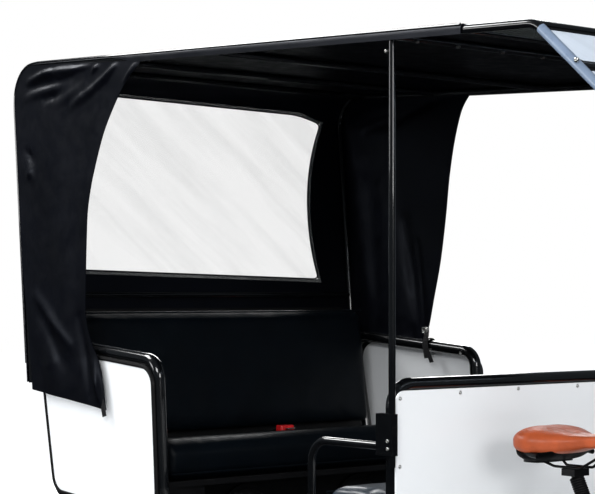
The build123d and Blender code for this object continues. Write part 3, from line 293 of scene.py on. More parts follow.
# pale floor: it glows a little to the camera and shows dark in glossy surfaces, as a studio's far end does
floorSet = {"size": 60, "paint": (0.9, 0.9, 0.9, 1), "rough": 0.9, "glow": 0.62, "dark": (0.008, 0.008, 0.009, 1)}
bpy.ops.object.select_all(action="DESELECT")
bpy.ops.mesh.primitive_plane_add(size=floorSet["size"], location=(0, 0, 0))
floor = bpy.context.object
floor.name = "studioFloor"
floorPaint, tree, shader = newMaterial("studioFloorPaint")
setInputs(shader, {"Base Color": floorSet["paint"], "Roughness": floorSet["rough"]})
ray = addNode(tree, "LightPath").outputs
amount = addNode(tree, "Math", {0: ray["Is Camera Ray"]}, operation="MULTIPLY")
amount.inputs[1].default_value = floorSet["glow"]
glow = addNode(tree, "Emission", {"Strength": amount.outputs[0]})
dark = addNode(tree, "BsdfDiffuse", Color=floorSet["dark"])
lit = addNode(tree, "MixShader", {0: ray["Is Glossy Ray"], 1: shader.outputs[0], 2: dark.outputs[0]})
both = addNode(tree, "AddShader", {0: lit.outputs[0], 1: glow.outputs[0]})
tree.links.new(both.outputs[0], tree.nodes["Material Output"].inputs["Surface"])
floor.data.materials.append(floorPaint)


def editMode():
    bpy.ops.object.mode_set(mode="EDIT")


def objectMode():
    bpy.ops.object.mode_set(mode="OBJECT")


def selectAll():
    bpy.ops.mesh.select_all(action="SELECT")


def deselectAll():
    if bpy.context.object is not None and bpy.context.object.mode != "OBJECT":
        objectMode()
    bpy.ops.object.select_all(action="DESELECT")


# the object just added, under its name
def justAdded(name):
    piece = bpy.context.object
    piece.name = name
    return piece


def makeActive(piece):
    deselectAll()
    piece.select_set(True)
    bpy.context.view_layer.objects.active = piece


def applyPlace(piece):
    makeActive(piece)
    bpy.ops.object.transform_apply(location=True, rotation=True, scale=True)


# adds a modifier with its settings and applies it
def modify(piece, kind, **values):
    makeActive(piece)
    modifier = piece.modifiers.new(kind, kind)
    for key, value in values.items():
        setattr(modifier, key, value)
    bpy.ops.object.modifier_apply(modifier=modifier.name)


def joinPieces(name, parts):
    deselectAll()
    for part in parts:
        part.select_set(True)
    bpy.context.view_layer.objects.active = parts[0]
    if len(parts) > 1:
        bpy.ops.object.join()
    return justAdded(name)


# places a finished piece on its body with its finish and its smoothing; without an angle it is smooth all over
def settle(piece, finish, smooth=35, body="vehicle"):
    applyPlace(piece)
    piece.data.materials.clear()
    piece.data.materials.append(finishes[finish])
    if smooth:
        bpy.ops.object.shade_smooth_by_angle(angle=radians(smooth))
    else:
        bpy.ops.object.shade_smooth()
    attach(piece, body)
    return piece


# leaves the piece in edit mode with only the faces that pass the test selected
def selectFaces(piece, test):
    editMode()
    bpy.ops.mesh.select_mode(type="FACE")
    bpy.ops.mesh.select_all(action="DESELECT")
    objectMode()
    for face in piece.data.polygons:
        face.select = test(face)
    editMode()


# a grid sheet: place(u, v) gives each point for u and v from 0 to 1, cut(u, v) says which faces go
def sheetGrid(name, columns, rows, place, cut=None):
    deselectAll()
    bpy.ops.mesh.primitive_grid_add(x_subdivisions=columns, y_subdivisions=rows, size=1, location=(0.5, 0.5, 0))
    piece = justAdded(name)
    applyPlace(piece)
    if cut is not None:
        selectFaces(piece, lambda face: cut(face.center[0], face.center[1]))
        bpy.ops.mesh.delete(type="FACE")
        objectMode()
    for vertex in piece.data.vertices:
        vertex.co = place(vertex.co.x, vertex.co.y)
    return piece


def thicken(piece, thickness):
    modify(piece, "SOLIDIFY", thickness=thickness, offset=0, use_even_offset=True)


# a solid bar of one outline: a circle with as many points as the outline, pulled out along Y
def profileBar(name, outline, startY, endY):
    deselectAll()
    bpy.ops.mesh.primitive_circle_add(vertices=len(outline), radius=1, fill_type="NGON")
    piece = justAdded(name)
    for vertex, (x, z) in zip(piece.data.vertices, outline):
        vertex.co = (x, startY, z)
    editMode()
    selectAll()
    bpy.ops.mesh.extrude_region_move(TRANSFORM_OT_translate={"value": (0, endY - startY, 0)})
    selectAll()
    bpy.ops.mesh.normals_make_consistent(inside=False)
    objectMode()
    return piece


# a round tube through the points, made a mesh
def tubeAlong(name, points, radius, sides=10, closed=False):
    curve = bpy.data.curves.new(name, "CURVE")
    curve.dimensions = "3D"
    curve.bevel_depth = radius
    curve.bevel_resolution = max(1, sides // 4)
    curve.resolution_u = 6
    curve.use_fill_caps = True
    spline = curve.splines.new("NURBS")
    spline.points.add(len(points) - 1)
    for point, place in zip(spline.points, points):
        point.co = (*place, 1)
    spline.order_u = 3
    spline.use_endpoint_u = not closed
    spline.use_cyclic_u = closed
    piece = bpy.data.objects.new(name, curve)
    bpy.context.scene.collection.objects.link(piece)
    makeActive(piece)
    bpy.ops.object.convert(target="MESH")
    return bpy.context.object


def smoothStep(value, low, high):
    part = min(1.0, max(0.0, (value - low) / (high - low)))
    return part * part * (3 - 2 * part)


# a place on the smooth line through the points, t on from the point at this index towards the next
def lineThrough(points, index, t):
    p0, p1, p2, p3 = (Vector(points[min(max(index + step, 0), len(points) - 1)]) for step in (-1, 0, 1, 2))
    bend = (2 * p0 - 5 * p1 + 4 * p2 - p3) * t * t + (3 * p1 - p0 - 3 * p2 + p3) * t ** 3
    return 0.5 * (2 * p1 + (p2 - p0) * t + bend)


# height of one fold: a ridge along a line from one place to the other
def ridge(x, z, fold):
    x0, z0, x1, z1, width, height = fold
    along = Vector((x1 - x0, z1 - z0))
    part = ((x - x0) * along.x + (z - z0) * along.y) / along.length_squared
    held = min(1.0, max(0.0, part))
    away = hypot(x - x0 - along.x * held, z - z0 - along.y * held)
    fade = 1.0 - 0.6 * abs(held - 0.5) * 2
    return height * fade * exp(-((away / width) ** 2))


# right and left, as pieces' names end and as signs of Y
bothSides = (("Right", -1), ("Left", 1))


# lines of the roof tubes and of the cloth over them, in metres
roofLine = {
    "frontX": 0.47, "startX": -1.375, "startZ": 1.9683, "fall": 0.0517, "bars": [-1.44, -1.07, -0.542, 0.213, 0.47],
    "wallX": -1.501, "wallFoot": 0.95, "lean": 0.0875, "corner": 0.1,
}


def roofZ(x):
    return roofLine["startZ"] - roofLine["fall"] * (x - roofLine["startX"])


roofWay = Vector((1, -roofLine["fall"])).normalized()
wallWay = Vector((roofLine["lean"], -1)).normalized()
roofOut = Vector((roofLine["fall"], 1)).normalized()
wallOut = Vector((-1, -roofLine["lean"])).normalized()
wallTopX = roofLine["wallX"] - roofLine["lean"] * (roofZ(0) - roofLine["wallFoot"])
meetX = wallTopX / (1 - roofLine["lean"] * roofLine["fall"])
meeting = Vector((meetX, roofZ(meetX)))
halfTurn = roofWay.angle(wallWay) / 2
turnReach = roofLine["corner"] / tan(halfTurn)
turnCentre = meeting + (roofWay + wallWay).normalized() * roofLine["corner"] / sin(halfTurn)
frontPoint = Vector((roofLine["frontX"], roofZ(roofLine["frontX"])))
roofLength = (frontPoint - meeting).length - turnReach
arcLength = roofLine["corner"] * (pi - 2 * halfTurn)


# a place on the cloth and the way it faces: way is measured from the front hem back over the roof and down the wall
def coverPlace(way, out):
    if way <= roofLength:
        place, facing = frontPoint - roofWay * way, roofOut
    elif way <= roofLength + arcLength:
        turned = (way - roofLength) / roofLine["corner"]
        facing = roofOut * cos(turned) - roofWay * sin(turned)
        place = turnCentre + facing * roofLine["corner"]
    else:
        place, facing = meeting + wallWay * (turnReach + way - roofLength - arcLength), wallOut
    return place + facing * out, facing


def clothPoint(way, out):
    return coverPlace(way, out)[0]


def wayAtHeight(z):
    low, high = roofLength, roofLength + arcLength + 1.2
    for step in range(40):
        middle = (low + high) / 2
        if clothPoint(middle, 0.0128).y > z:
            low = middle
        else:
            high = middle
    return low


# roof cover with rounded rear edge and rear wall in one sheet, open for the window
coverSet = {
    "half": 0.7053, "edgeRadius": 0.008, "hem": 0.017, "out": 0.0126, "thickness": 0.0026, "sag": 0.007,
    "wallLow": 0.952, "windowTop": 1.91, "windowLow": 1.306, "windowHalf": 0.611, "corner": 0.026,
    "rows": [0.0, 0.5, 0.58, 0.84, 1.0],  # shares of the rows: roof, bend above the window, window, below it
    "columns": [0.0, 0.74, 0.93, 1.0],  # shares of half the columns: window, beside it, hem
    "faces": 100, "outerHalf": 0.7133, "roofWave": 0.0014, "wallWave": 0.003,
}


def windowHalf(part):
    return coverSet["windowHalf"] - 0.2802 * part + 0.2292 * part * part


def windowTopAt(y):
    return coverSet["windowTop"] - 0.0137 * y - coverSet["corner"] * smoothStep(abs(y), 0.5, coverSet["windowHalf"])


def windowLowAt(y):
    return coverSet["windowLow"] - 0.0232 * y


# where the window starts and ends, measured along the cloth
def windowWays(y, above=0.0, below=0.0):
    return wayAtHeight(windowTopAt(y) + above), wayAtHeight(windowLowAt(y) - below)


def coverWay(v, y):
    rows = coverSet["rows"]
    ways = [0.0, roofLength - 0.03, *windowWays(y), wayAtHeight(coverSet["wallLow"])]
    for index in range(4):
        if v <= rows[index + 1] + 1e-9:
            part = (v - rows[index]) / (rows[index + 1] - rows[index])
            return ways[index] + part * (ways[index + 1] - ways[index])
    return ways[-1]


# side, distance from the middle and share of the hem for a place on the cover's grid
def coverAcross(u, v):
    rows, columns = coverSet["rows"], coverSet["columns"]
    side = 1 if u >= 0.5 else -1
    share = abs(u - 0.5) * 2
    opening = windowHalf(min(1.0, max(0.0, (v - rows[2]) / (rows[3] - rows[2]))))
    if share <= columns[1]:
        return side, share / columns[1] * opening, 0.0
    if share <= columns[2]:
        part = (share - columns[1]) / (columns[2] - columns[1])
        return side, opening + part * (coverSet["half"] - opening), 0.0
    return side, coverSet["half"], (share - columns[2]) / (columns[3] - columns[2])


coverWays = {}


def placeCover(u, v):
    side, across, hemPart = coverAcross(u, v)
    key = (round(v, 6), round(side * across, 4))
    if key not in coverWays:
        coverWays[key] = coverWay(v, side * across)
    way = coverWays[key]
    place, facing = coverPlace(way, coverSet["out"])
    hemLength = coverSet["hem"] * (1 - smoothStep(place.x, -0.9, -1.02) if place.x < -0.85 else 1.0)
    bend = coverSet["edgeRadius"]
    run = hemPart * (pi / 2 * bend + hemLength)
    if run < pi / 2 * bend:
        across += bend * sin(run / bend)
        drop = bend * (1 - cos(run / bend))
    else:
        across += bend
        drop = bend + run - pi / 2 * bend
    if way < roofLength:
        for back, front in zip(roofLine["bars"], roofLine["bars"][1:]):
            if back <= place.x <= front:
                part = (place.x - back) / (front - back)
                drop += coverSet["sag"] * 4 * part * (1 - part) * (1 - (across / coverSet["outerHalf"]) ** 4)
    wave = coverSet["roofWave"] * noise.noise(Vector((place.x * 5, across * side * 4, place.y * 5))) * (1 - hemPart)
    if way > roofLength:
        started = (1 - hemPart) * smoothStep(way, roofLength, roofLength + 0.3)
        wave += coverSet["wallWave"] * noise.noise(Vector((2.0, across * side * 6, place.y * 4))) * started
    place = place - facing * (drop - wave)
    return (place.x, side * across, place.y)


def inWindow(u, v):
    return coverSet["rows"][2] < v < coverSet["rows"][3] and abs(u - 0.5) * 2 < coverSet["columns"][1]


cover = sheetGrid("canopyCover", coverSet["faces"], coverSet["faces"], placeCover, inWindow)
thicken(cover, coverSet["thickness"])
settle(cover, "canopyVinyl", smooth=60)
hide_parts("canopy_roof", "canopy_rear_wall")
print("canopy cover made")


# clear window behind the opening, slack and creased
filmSet = {"lap": 0.012, "out": 0.0091, "slack": 0.0012, "thickness": 0.0008, "fine": 0.0022, "broad": 0.0035}


def placeWindow(u, v):
    y = (u * 2 - 1) * (windowHalf(min(1.0, max(0.0, v))) + filmSet["lap"])
    top, low = windowWays(y, 0.01, 0.012)
    way = top + v * (low - top)
    slack = smoothStep(min(u, 1 - u, v, 1 - v), 0.0, 0.12)
    crease = filmSet["fine"] * noise.noise(Vector((y * 7 + v * 6, way * 9, 0.3)))
    crease += filmSet["broad"] * noise.noise(Vector((y * 2.2, way * 3.1, 4.0)))
    place = clothPoint(way, filmSet["out"] + (crease - filmSet["slack"]) * slack)
    return (place.x, y, place.y)


window = sheetGrid("rearWindowFilm", 90, 60, placeWindow)
thicken(window, filmSet["thickness"])
settle(window, "windowFilm", smooth=60)
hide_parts("rear_window")
print("window made")


# side wings: front edges as X and height from the roof down, and the folds that pull across the cloth
wingSet = {
    "plane": 0.7122, "out": 0.0042, "thickness": 0.0024, "least": -0.01, "most": 0.014, "wave": 0.0015,
    "right": {
        "frontEdge": [
            (-0.8653, 1.932), (-0.9704, 1.852), (-1.0513, 1.7526), (-1.1118, 1.634), (-1.151, 1.512), (-1.162, 1.404),
            (-1.165, 1.28), (-1.165, 1.157), (-1.1285, 1.08), (-1.0897, 1.0285), (-1.0677, 0.959), (-1.0513, 0.883),
        ],
        "lowRear": (-1.478, 0.928), "flatShare": 0.69,
        # X and Z at the start and at the end, width, height outward
        "folds": [
            (-1.5, 1.925, -1.37, 1.9479, 0.01, 0.011), (-1.4, 1.94, -1.243, 1.952, 0.01, 0.01),
            (-1.335, 1.932, -1.137, 1.948, 0.01, 0.01), (-1.124, 1.925, -1.087, 1.944, 0.008, 0.009),
            (-1.24, 1.83, -1.13, 1.866, 0.014, 0.01), (-1.14, 1.861, -1.04, 1.905, 0.012, 0.011),
            (-1.06, 1.893, -0.992, 1.936, 0.009, 0.01), (-1.329, 1.839, -1.168, 1.888, 0.016, 0.006),
            (-1.522, 1.872, -1.341, 1.8975, 0.014, 0.007), (-0.955, 1.875, -0.89, 1.928, 0.007, 0.008),
            (-1.51, 1.902, -1.242, 1.915, 0.014, -0.008), (-1.406, 1.858, -1.311, 1.874, 0.014, -0.01),
            (-1.516, 1.699, -1.473, 1.667, 0.016, -0.009), (-1.505, 1.645, -1.478, 1.615, 0.022, 0.009),
            (-1.458, 1.234, -1.25, 1.077, 0.02, 0.012), (-1.43, 1.17, -1.29, 1.02, 0.024, -0.008),
            (-1.3, 1.5, -1.27, 1.1, 0.06, 0.006), (-1.2, 1.16, -1.14, 0.93, 0.022, -0.01),
            (-1.115, 1.02, -1.078, 0.9, 0.016, 0.013), (-1.38, 1.1, -1.34, 0.93, 0.045, 0.009),
        ],
    },
    "left": {
        "frontEdge": [
            (-0.9002, 1.9403), (-0.9444, 1.8844), (-0.9792, 1.7812), (-1.0042, 1.6625), (-1.0242, 1.518),
            (-1.0495, 1.3586), (-1.0851, 1.2161), (-1.1108, 1.1228), (-1.1365, 1.0901), (-1.124, 1.02),
            (-1.105, 0.955), (-1.098, 0.912),
        ],
        "lowRear": (-1.49, 0.93), "flatShare": 0.77,
        "folds": [
            (-1.54, 1.872, -1.02, 1.945, 0.02, 0.009), (-1.45, 1.845, -1.1, 1.925, 0.018, 0.008),
            (-1.36, 1.85, -1.16, 1.905, 0.018, 0.007), (-1.42, 1.62, -1.38, 1.05, 0.045, 0.009),
            (-1.24, 1.5, -1.16, 1.12, 0.03, 0.012), (-1.17, 1.42, -1.13, 1.12, 0.016, 0.008),
            (-1.5, 1.4, -1.46, 0.98, 0.035, 0.007), (-1.2, 1.1, -1.14, 0.93, 0.024, 0.011),
        ],
    },
}


def alongList(points, part):
    lengths = [0.0]
    for a, b in zip(points, points[1:]):
        lengths.append(lengths[-1] + dist(a, b))
    reach = part * lengths[-1]
    for index in range(len(points) - 1):
        if reach <= lengths[index + 1] + 1e-9:
            return lineThrough(points, index, (reach - lengths[index]) / (lengths[index + 1] - lengths[index]))
    return Vector(points[-1])


# a place on a wing between its four edges: u from the rear edge to the front edge, v from the roof to the bottom hem
def wingPlace(u, v, shape):
    out = wingSet["out"]
    frontEdge, lowRear = shape["frontEdge"], Vector(shape["lowRear"])
    lowFront, topX = Vector(frontEdge[-1]), frontEdge[0][0]
    topRearWay = roofLength + arcLength * 0.45
    topFrontWay = (frontPoint - Vector((topX, roofZ(topX)))).length
    top = clothPoint(topRearWay + u * (topFrontWay - topRearWay), out)
    lowWay = wayAtHeight(lowRear.y)
    rear = clothPoint(topRearWay + v * (lowWay - topRearWay), out)
    rear.x += (lowRear.x - clothPoint(lowWay, out).x) * smoothStep(v, 0.55, 1.0)
    return (
        top * (1 - v) + lowRear.lerp(lowFront, u) * v + rear * (1 - u) + alongList(frontEdge, v) * u
        - clothPoint(topRearWay, out) * (1 - u) * (1 - v) - clothPoint(topFrontWay, out) * u * (1 - v)
        - lowRear * (1 - u) * v - lowFront * u * v
    )


def makeWing(name, side, shape):
    def placeWing(u, v):
        place = wingPlace(u, v, shape)
        rise = sum(ridge(place.x, place.y, fold) for fold in shape["folds"])
        rise += wingSet["wave"] * noise.noise(Vector((place.x * 9, side * 3.0, place.y * 7)))
        rise *= smoothStep(v, 0.0, 0.03) * smoothStep(u, 0.0, 0.05)
        rise = min(max(rise, wingSet["least"]), wingSet["most"])
        return (place.x, side * (wingSet["plane"] + rise), place.y)

    wing = sheetGrid(name, 90, 150, placeWing)
    thicken(wing, wingSet["thickness"])
    settle(wing, "canopyVinyl", smooth=60)
    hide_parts("side_curtains")


makeWing("sideWingRight", -1, wingSet["right"])
makeWing("sideWingLeft", 1, wingSet["left"])
print("side wings made")


# padded pieces: CAD node, finish, half width, how far the cloth may swell, edge bevel, outline from the side
padSet = {
    "rearSeatPad": {
        "node": "rear_seat_cushion", "finish": "seatVinyl", "halfWidth": 0.632, "cap": 0.01, "bevel": 0.016,
        "outline": [
            (-1.348, 0.681), (-0.858, 0.681), (-0.832, 0.686), (-0.826, 0.706), (-0.822, 0.762), (-0.84, 0.786),
            (-0.868, 0.791), (-1.1, 0.772), (-1.305, 0.751), (-1.348, 0.748),
        ],
    },
    "backrestPad": {
        "node": "rear_backrest", "finish": "seatVinyl", "halfWidth": 0.624, "cap": 0.009, "bevel": 0.018,
        "outline": [
            (-1.366, 0.77), (-1.32, 0.77), (-1.333, 0.9), (-1.35, 1.06), (-1.368, 1.16), (-1.392, 1.188),
            (-1.438, 1.184), (-1.42, 1.05), (-1.392, 0.9),
        ],
    },
    "frontSeatPad": {
        "node": "front_bench_cushion", "finish": "frontSeatVinyl", "halfWidth": 0.596, "cap": 0.009, "bevel": 0.014,
        "outline": [
            (0.154, 0.624), (-0.15, 0.624), (-0.164, 0.638), (-0.166, 0.69), (-0.148, 0.708), (-0.05, 0.712),
            (0.154, 0.704),
        ],
    },
}
puffSet = {"voxel": 0.0075, "pressure": 4.0, "mass": 0.3, "frames": 20, "soften": 0.6, "rounds": 6}


# evens out the mesh, swells it under pressure by no more than the cap, and softens it
def puff(piece, cap):
    modify(piece, "REMESH", mode="VOXEL", voxel_size=puffSet["voxel"])
    start = [vertex.co.copy() for vertex in piece.data.vertices]
    swell = piece.modifiers.new("swell", "CLOTH")
    swell.settings.use_pressure = True
    swell.settings.uniform_pressure_force = puffSet["pressure"]
    swell.settings.effector_weights.gravity = 0
    swell.settings.quality = 4
    swell.settings.mass = puffSet["mass"]
    swell.collision_settings.use_collision = False
    scene = bpy.context.scene
    for frameNumber in range(1, puffSet["frames"] + 1):
        scene.frame_set(frameNumber)
    shaped = piece.evaluated_get(bpy.context.evaluated_depsgraph_get())
    moved = [vertex.co.copy() for vertex in shaped.data.vertices]
    piece.modifiers.remove(swell)
    scene.frame_set(1)
    for vertex, before, after in zip(piece.data.vertices, start, moved):
        push = after - before
        if push.length > cap:
            push = push.normalized() * cap
        vertex.co = before + push
    modify(piece, "SMOOTH", factor=puffSet["soften"], iterations=puffSet["rounds"])


for padName, settings in padSet.items():
    pad = profileBar(padName, settings["outline"], -settings["halfWidth"], settings["halfWidth"])
    modify(pad, "BEVEL", width=settings["bevel"], segments=3, limit_method="ANGLE", angle_limit=radians(50))
    puff(pad, settings["cap"])
    # soft dips and creases of sat-on vinyl
    outward = [vertex.normal.copy() for vertex in pad.data.vertices]
    for vertex, normal in zip(pad.data.vertices, outward):
        x, y, z = vertex.co
        dent = 0.0022 * noise.noise(Vector((x * 6, y * 4.5, z * 6)))
        dent += 0.0009 * noise.noise(Vector((x * 22, y * 14, z * 22)))
        vertex.co += normal * dent
    settle(pad, settings["finish"], smooth=0)
    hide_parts(settings["node"])
print("seat pads made")


# saddles: rounded tail, waist and nose over a black shell
saddleSet = {
    "clampX": 0.46, "clampZ": 0.782, "y": 0.29, "groove": 0.004,
    # place from the clamp, half width, crown height, skirt height
    "sections": [
        (-0.14, 0.06, 0.094, 0.07), (-0.125, 0.102, 0.108, 0.052), (-0.098, 0.124, 0.116, 0.043),
        (-0.062, 0.127, 0.114, 0.039), (-0.025, 0.104, 0.106, 0.044), (0.015, 0.068, 0.1, 0.053),
        (0.055, 0.045, 0.099, 0.063), (0.095, 0.034, 0.1, 0.065), (0.12, 0.027, 0.098, 0.066),
        (0.134, 0.016, 0.09, 0.069),
    ],
}


# half width, crown and skirt at a place along the saddle
def saddleSection(place):
    sections = saddleSet["sections"]
    for a, b in zip(sections, sections[1:]):
        if place <= b[0] + 1e-9:
            t = smoothStep(place, a[0], b[0]) * 0.4 + 0.6 * (place - a[0]) / (b[0] - a[0])
            return [a[i] + t * (b[i] - a[i]) for i in range(1, 4)]
    return list(sections[-1][1:])


def saddlePoint(side, place, across, height):
    return (saddleSet["clampX"] + place, side * saddleSet["y"] + across, saddleSet["clampZ"] + height)


# a sphere drawn out along the saddle: shape(pole, place, angle) gives each point's offset across and its height
def saddleBody(name, side, segments, rings, startShift, endShift, shape):
    deselectAll()
    bpy.ops.mesh.primitive_uv_sphere_add(segments=segments, ring_count=rings, radius=1)
    body = justAdded(name)
    first, last = saddleSet["sections"][0][0] + startShift, saddleSet["sections"][-1][0] + endShift
    for vertex in body.data.vertices:
        pole = max(-1.0, min(1.0, vertex.co.z))
        place = first + (last - first) * (0.5 + 0.5 * sin(pole * pi / 2))
        vertex.co = saddlePoint(side, place, *shape(pole, place, atan2(vertex.co.y, vertex.co.x)))
    return body


# a cosine with its round made fuller
def fullCosine(angle, power):
    return copysign(abs(cos(angle)) ** power, cos(angle))


def saddleShape(pole, place, angle):
    half, crown, skirt = saddleSection(place)
    ends = sqrt(max(0.0, 1 - abs(pole) ** 8))
    across = fullCosine(angle, 0.75) * half * ends
    up = sin(angle)
    middle = skirt + (crown - skirt) * 0.45
    if up >= 0:
        height = middle + (crown - middle) * (up ** 0.8) * ends
    else:
        height = middle + (skirt - middle) * (abs(up) ** 0.6) * ends
    groove = saddleSet["groove"] * exp(-((across / 0.012) ** 2)) * smoothStep(up, 0.3, 0.9)
    groove *= smoothStep(place, -0.13, -0.05) * (1 - smoothStep(place, 0.04, 0.11))
    return across, height - groove


def makeSaddle(name, side):
    saddle = saddleBody(name, side, 48, 40, 0.0, 0.0, saddleShape)
    makeActive(saddle)
    editMode()
    selectAll()
    bpy.ops.mesh.remove_doubles(threshold=0.0004)
    bpy.ops.mesh.normals_make_consistent(inside=False)
    objectMode()
    modify(saddle, "SUBSURF", levels=1, render_levels=1)
    settle(saddle, "tanLeather", smooth=0)
    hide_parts("saddles")


makeSaddle("saddleRight", -1)
makeSaddle("saddleLeft", 1)
print("saddles made")


# puts a piece at a place with its +Z facing the way given
def standAt(piece, place, facing):
    turn = Vector(facing).to_track_quat("Z", "Y").to_matrix().to_4x4()
    piece.matrix_world = Matrix.Translation(Vector(place)) @ turn


# copies of one model, each with its own mesh, at many places and facings, joined as one piece
def spreadCopies(name, model, places, finish, smooth=35, body="vehicle"):
    copies = []
    for place, facing in places:
        twin = model.copy()
        twin.data = model.data.copy()
        bpy.context.scene.collection.objects.link(twin)
        standAt(twin, place, facing)
        copies.append(twin)
    for twin in copies:
        applyPlace(twin)
    makeActive(model)
    bpy.ops.object.delete()
    settle(joinPieces(name, copies), finish, smooth, body)


# insets the faces that pass the test, step by step
def insetFaces(piece, test, steps):
    selectFaces(piece, test)
    for width, depth in steps:
        bpy.ops.mesh.inset(thickness=width, depth=depth)
    objectMode()


# screw head with a domed top and a socket, its back at the origin
def makeScrewHead(radius, height):
    deselectAll()
    bpy.ops.mesh.primitive_cylinder_add(vertices=18, radius=radius, depth=height, location=(0, 0, height / 2))
    head = bpy.context.object
    steps = [(radius * 0.18, height * 0.28), (radius * 0.28, height * 0.1), (radius * 0.03, -height * 0.75)]
    insetFaces(head, lambda face: face.normal.z > 0.9, steps)
    return head


# block with rounded edges, from its size and middle
def makeBlock(size, middle, edge):
    deselectAll()
    bpy.ops.mesh.primitive_cube_add(size=1, location=middle)
    block = bpy.context.object
    block.scale = size
    applyPlace(block)
    editMode()
    selectAll()
    bpy.ops.mesh.bevel(offset=edge, segments=2)
    objectMode()
    return block


# flat ribbon: a narrow grid whose middle line runs through the points, turned by a way for its width
def makeRibbon(name, points, width, widthWay, thickness):
    across = Vector(widthWay).normalized() * width

    def placeRibbon(u, v):
        reach = v * (len(points) - 1)
        index = min(int(reach), len(points) - 2)
        return lineThrough(points, index, reach - index) + across * (u - 0.5)

    ribbon = sheetGrid(name, 3, 4 * (len(points) - 1), placeRibbon)
    thicken(ribbon, thickness)
    return ribbon


screwSet = {
    "partitionFace": 0.2125,
    "partition": [
        (0.6711, 0.9724), (0.6725, 0.8005), (0.6725, 0.61), (0.6725, 0.43), (0.4573, 0.9803), (0.2381, 0.9834),
        (0.0, 0.983),
    ],
    # X, Y and Z of screws on both sides; these face inward
    "rails": [(-1.0445, 0.6505, 1.0395), (-0.8903, 0.6505, 1.0327)],
    # and these outward
    "posts": [
        (-0.836, 0.6895, 0.9214), (-0.836, 0.6895, 0.7222), (0.2105, 0.7115, 0.8661), (0.2105, 0.7115, 0.8461),
        (0.203, 0.7095, 1.847),
    ],
    "snaps": [0.6207, 0.474, 0.3078, 0.1517], "snapX": 0.222, "snapZ": 1.877, "knob": (0.834, 0.712, 1.762),
    "rear": [0.6, 0.3, 0.0], "rearHeights": [0.69, 1.025], "rearFoot": (-1.3962, 0.605), "rearLean": 0.1867,
}


def sidesOf(y):
    return (1, -1) if y else (1,)


partitionPlaces = [
    ((screwSet["partitionFace"], side * y, z), (1, 0, 0)) for y, z in screwSet["partition"] for side in sidesOf(y)
]
spreadCopies("partitionScrews", makeScrewHead(0.005, 0.0032), partitionPlaces, "boltZinc")

framePlaces = [((x, side * y, z), (0, -side, 0)) for x, y, z in screwSet["rails"] for side in (1, -1)]
framePlaces += [((x, side * y, z), (0, side, 0)) for x, y, z in screwSet["posts"] for side in (1, -1)]
spreadCopies("frameScrews", makeScrewHead(0.0052, 0.0042), framePlaces, "boltZinc")

knobX, knobY, knobZ = screwSet["knob"]
snapPlaces = [
    ((screwSet["snapX"], side * y, screwSet["snapZ"]), (0, 0, -1)) for y in screwSet["snaps"] for side in (1, -1)
]
snapPlaces += [((knobX, side * knobY, knobZ), (0, side, 0)) for side in (1, -1)]
spreadCopies("roofSnaps", makeScrewHead(0.0062, 0.0042), snapPlaces, "boltZinc")

rearPlaces = []
for z in screwSet["rearHeights"]:
    faceX = screwSet["rearFoot"][0] - screwSet["rearLean"] * (z - screwSet["rearFoot"][1])
    rearPlaces += [((faceX, side * y, z), (-0.983, 0, -0.184)) for y in screwSet["rear"] for side in sidesOf(y)]
spreadCopies("rearPanelScrews", makeScrewHead(0.0055, 0.0036), rearPlaces, "boltZinc")
print("screws made")


# a closed outline with a short arc in place of each corner
def roundCorners(corners, radius, steps=6):
    points = []
    for index, corner in enumerate(corners):
        middle = Vector(corner)
        before = (Vector(corners[index - 1]) - middle).normalized()
        after = (Vector(corners[(index + 1) % len(corners)]) - middle).normalized()
        half = before.angle(after) / 2
        reach = radius / tan(half)
        centre = middle + (before + after).normalized() * radius / sin(half)
        start = (middle + before * reach - centre).normalized()
        end = (middle + after * reach - centre).normalized()
        for step in range(steps + 1):
            points.append(centre + start.slerp(end, step / steps) * radius)
    return points


# rubber edging round the side panels
edgingSet = {
    "corners": [(-0.834, 1.017), (-1.459, 1.068), (-1.369, 0.611), (-0.807, 0.57)], "corner": 0.06,
    "y": 0.6945, "radius": 0.0066,
}
for sideName, side in bothSides:
    outline = roundCorners([(x, side * edgingSet["y"], z) for x, z in edgingSet["corners"]], edgingSet["corner"])
    edging = tubeAlong("panelEdging" + sideName, outline, edgingSet["radius"], closed=True)
    settle(edging, "rubberBlack")
print("edging made")


# strap that holds the left wing's front edge to the side rail, with a ladder buckle and two tails
strapSet = {
    "x": -1.066, "railZ": 1.0582, "ring": 0.0227, "y": 0.67, "width": 0.024, "thickness": 0.0016,
    "buckle": (0.034, 0.006, 0.022), "buckleMiddle": (-0.05, 0.7005, 1.108),
    # X from the strap's place, Y and Z
    "rise": [
        (0.004, 0.6465, 1.06), (-0.004, 0.656, 1.08), (-0.022, 0.678, 1.087), (-0.046, 0.701, 1.102),
        (-0.056, 0.709, 1.118),
    ],
    "tails": [
        [(0.008, 0.646, 1.07), (0.014, 0.644, 1.045), (0.028, 0.6465, 1.015), (0.036, 0.648, 0.996)],
        [(0.0032, 0.646, 1.07), (0.0056, 0.644, 1.045), (0.009, 0.6465, 1.015), (0.01, 0.648, 1.012)],
    ],
}


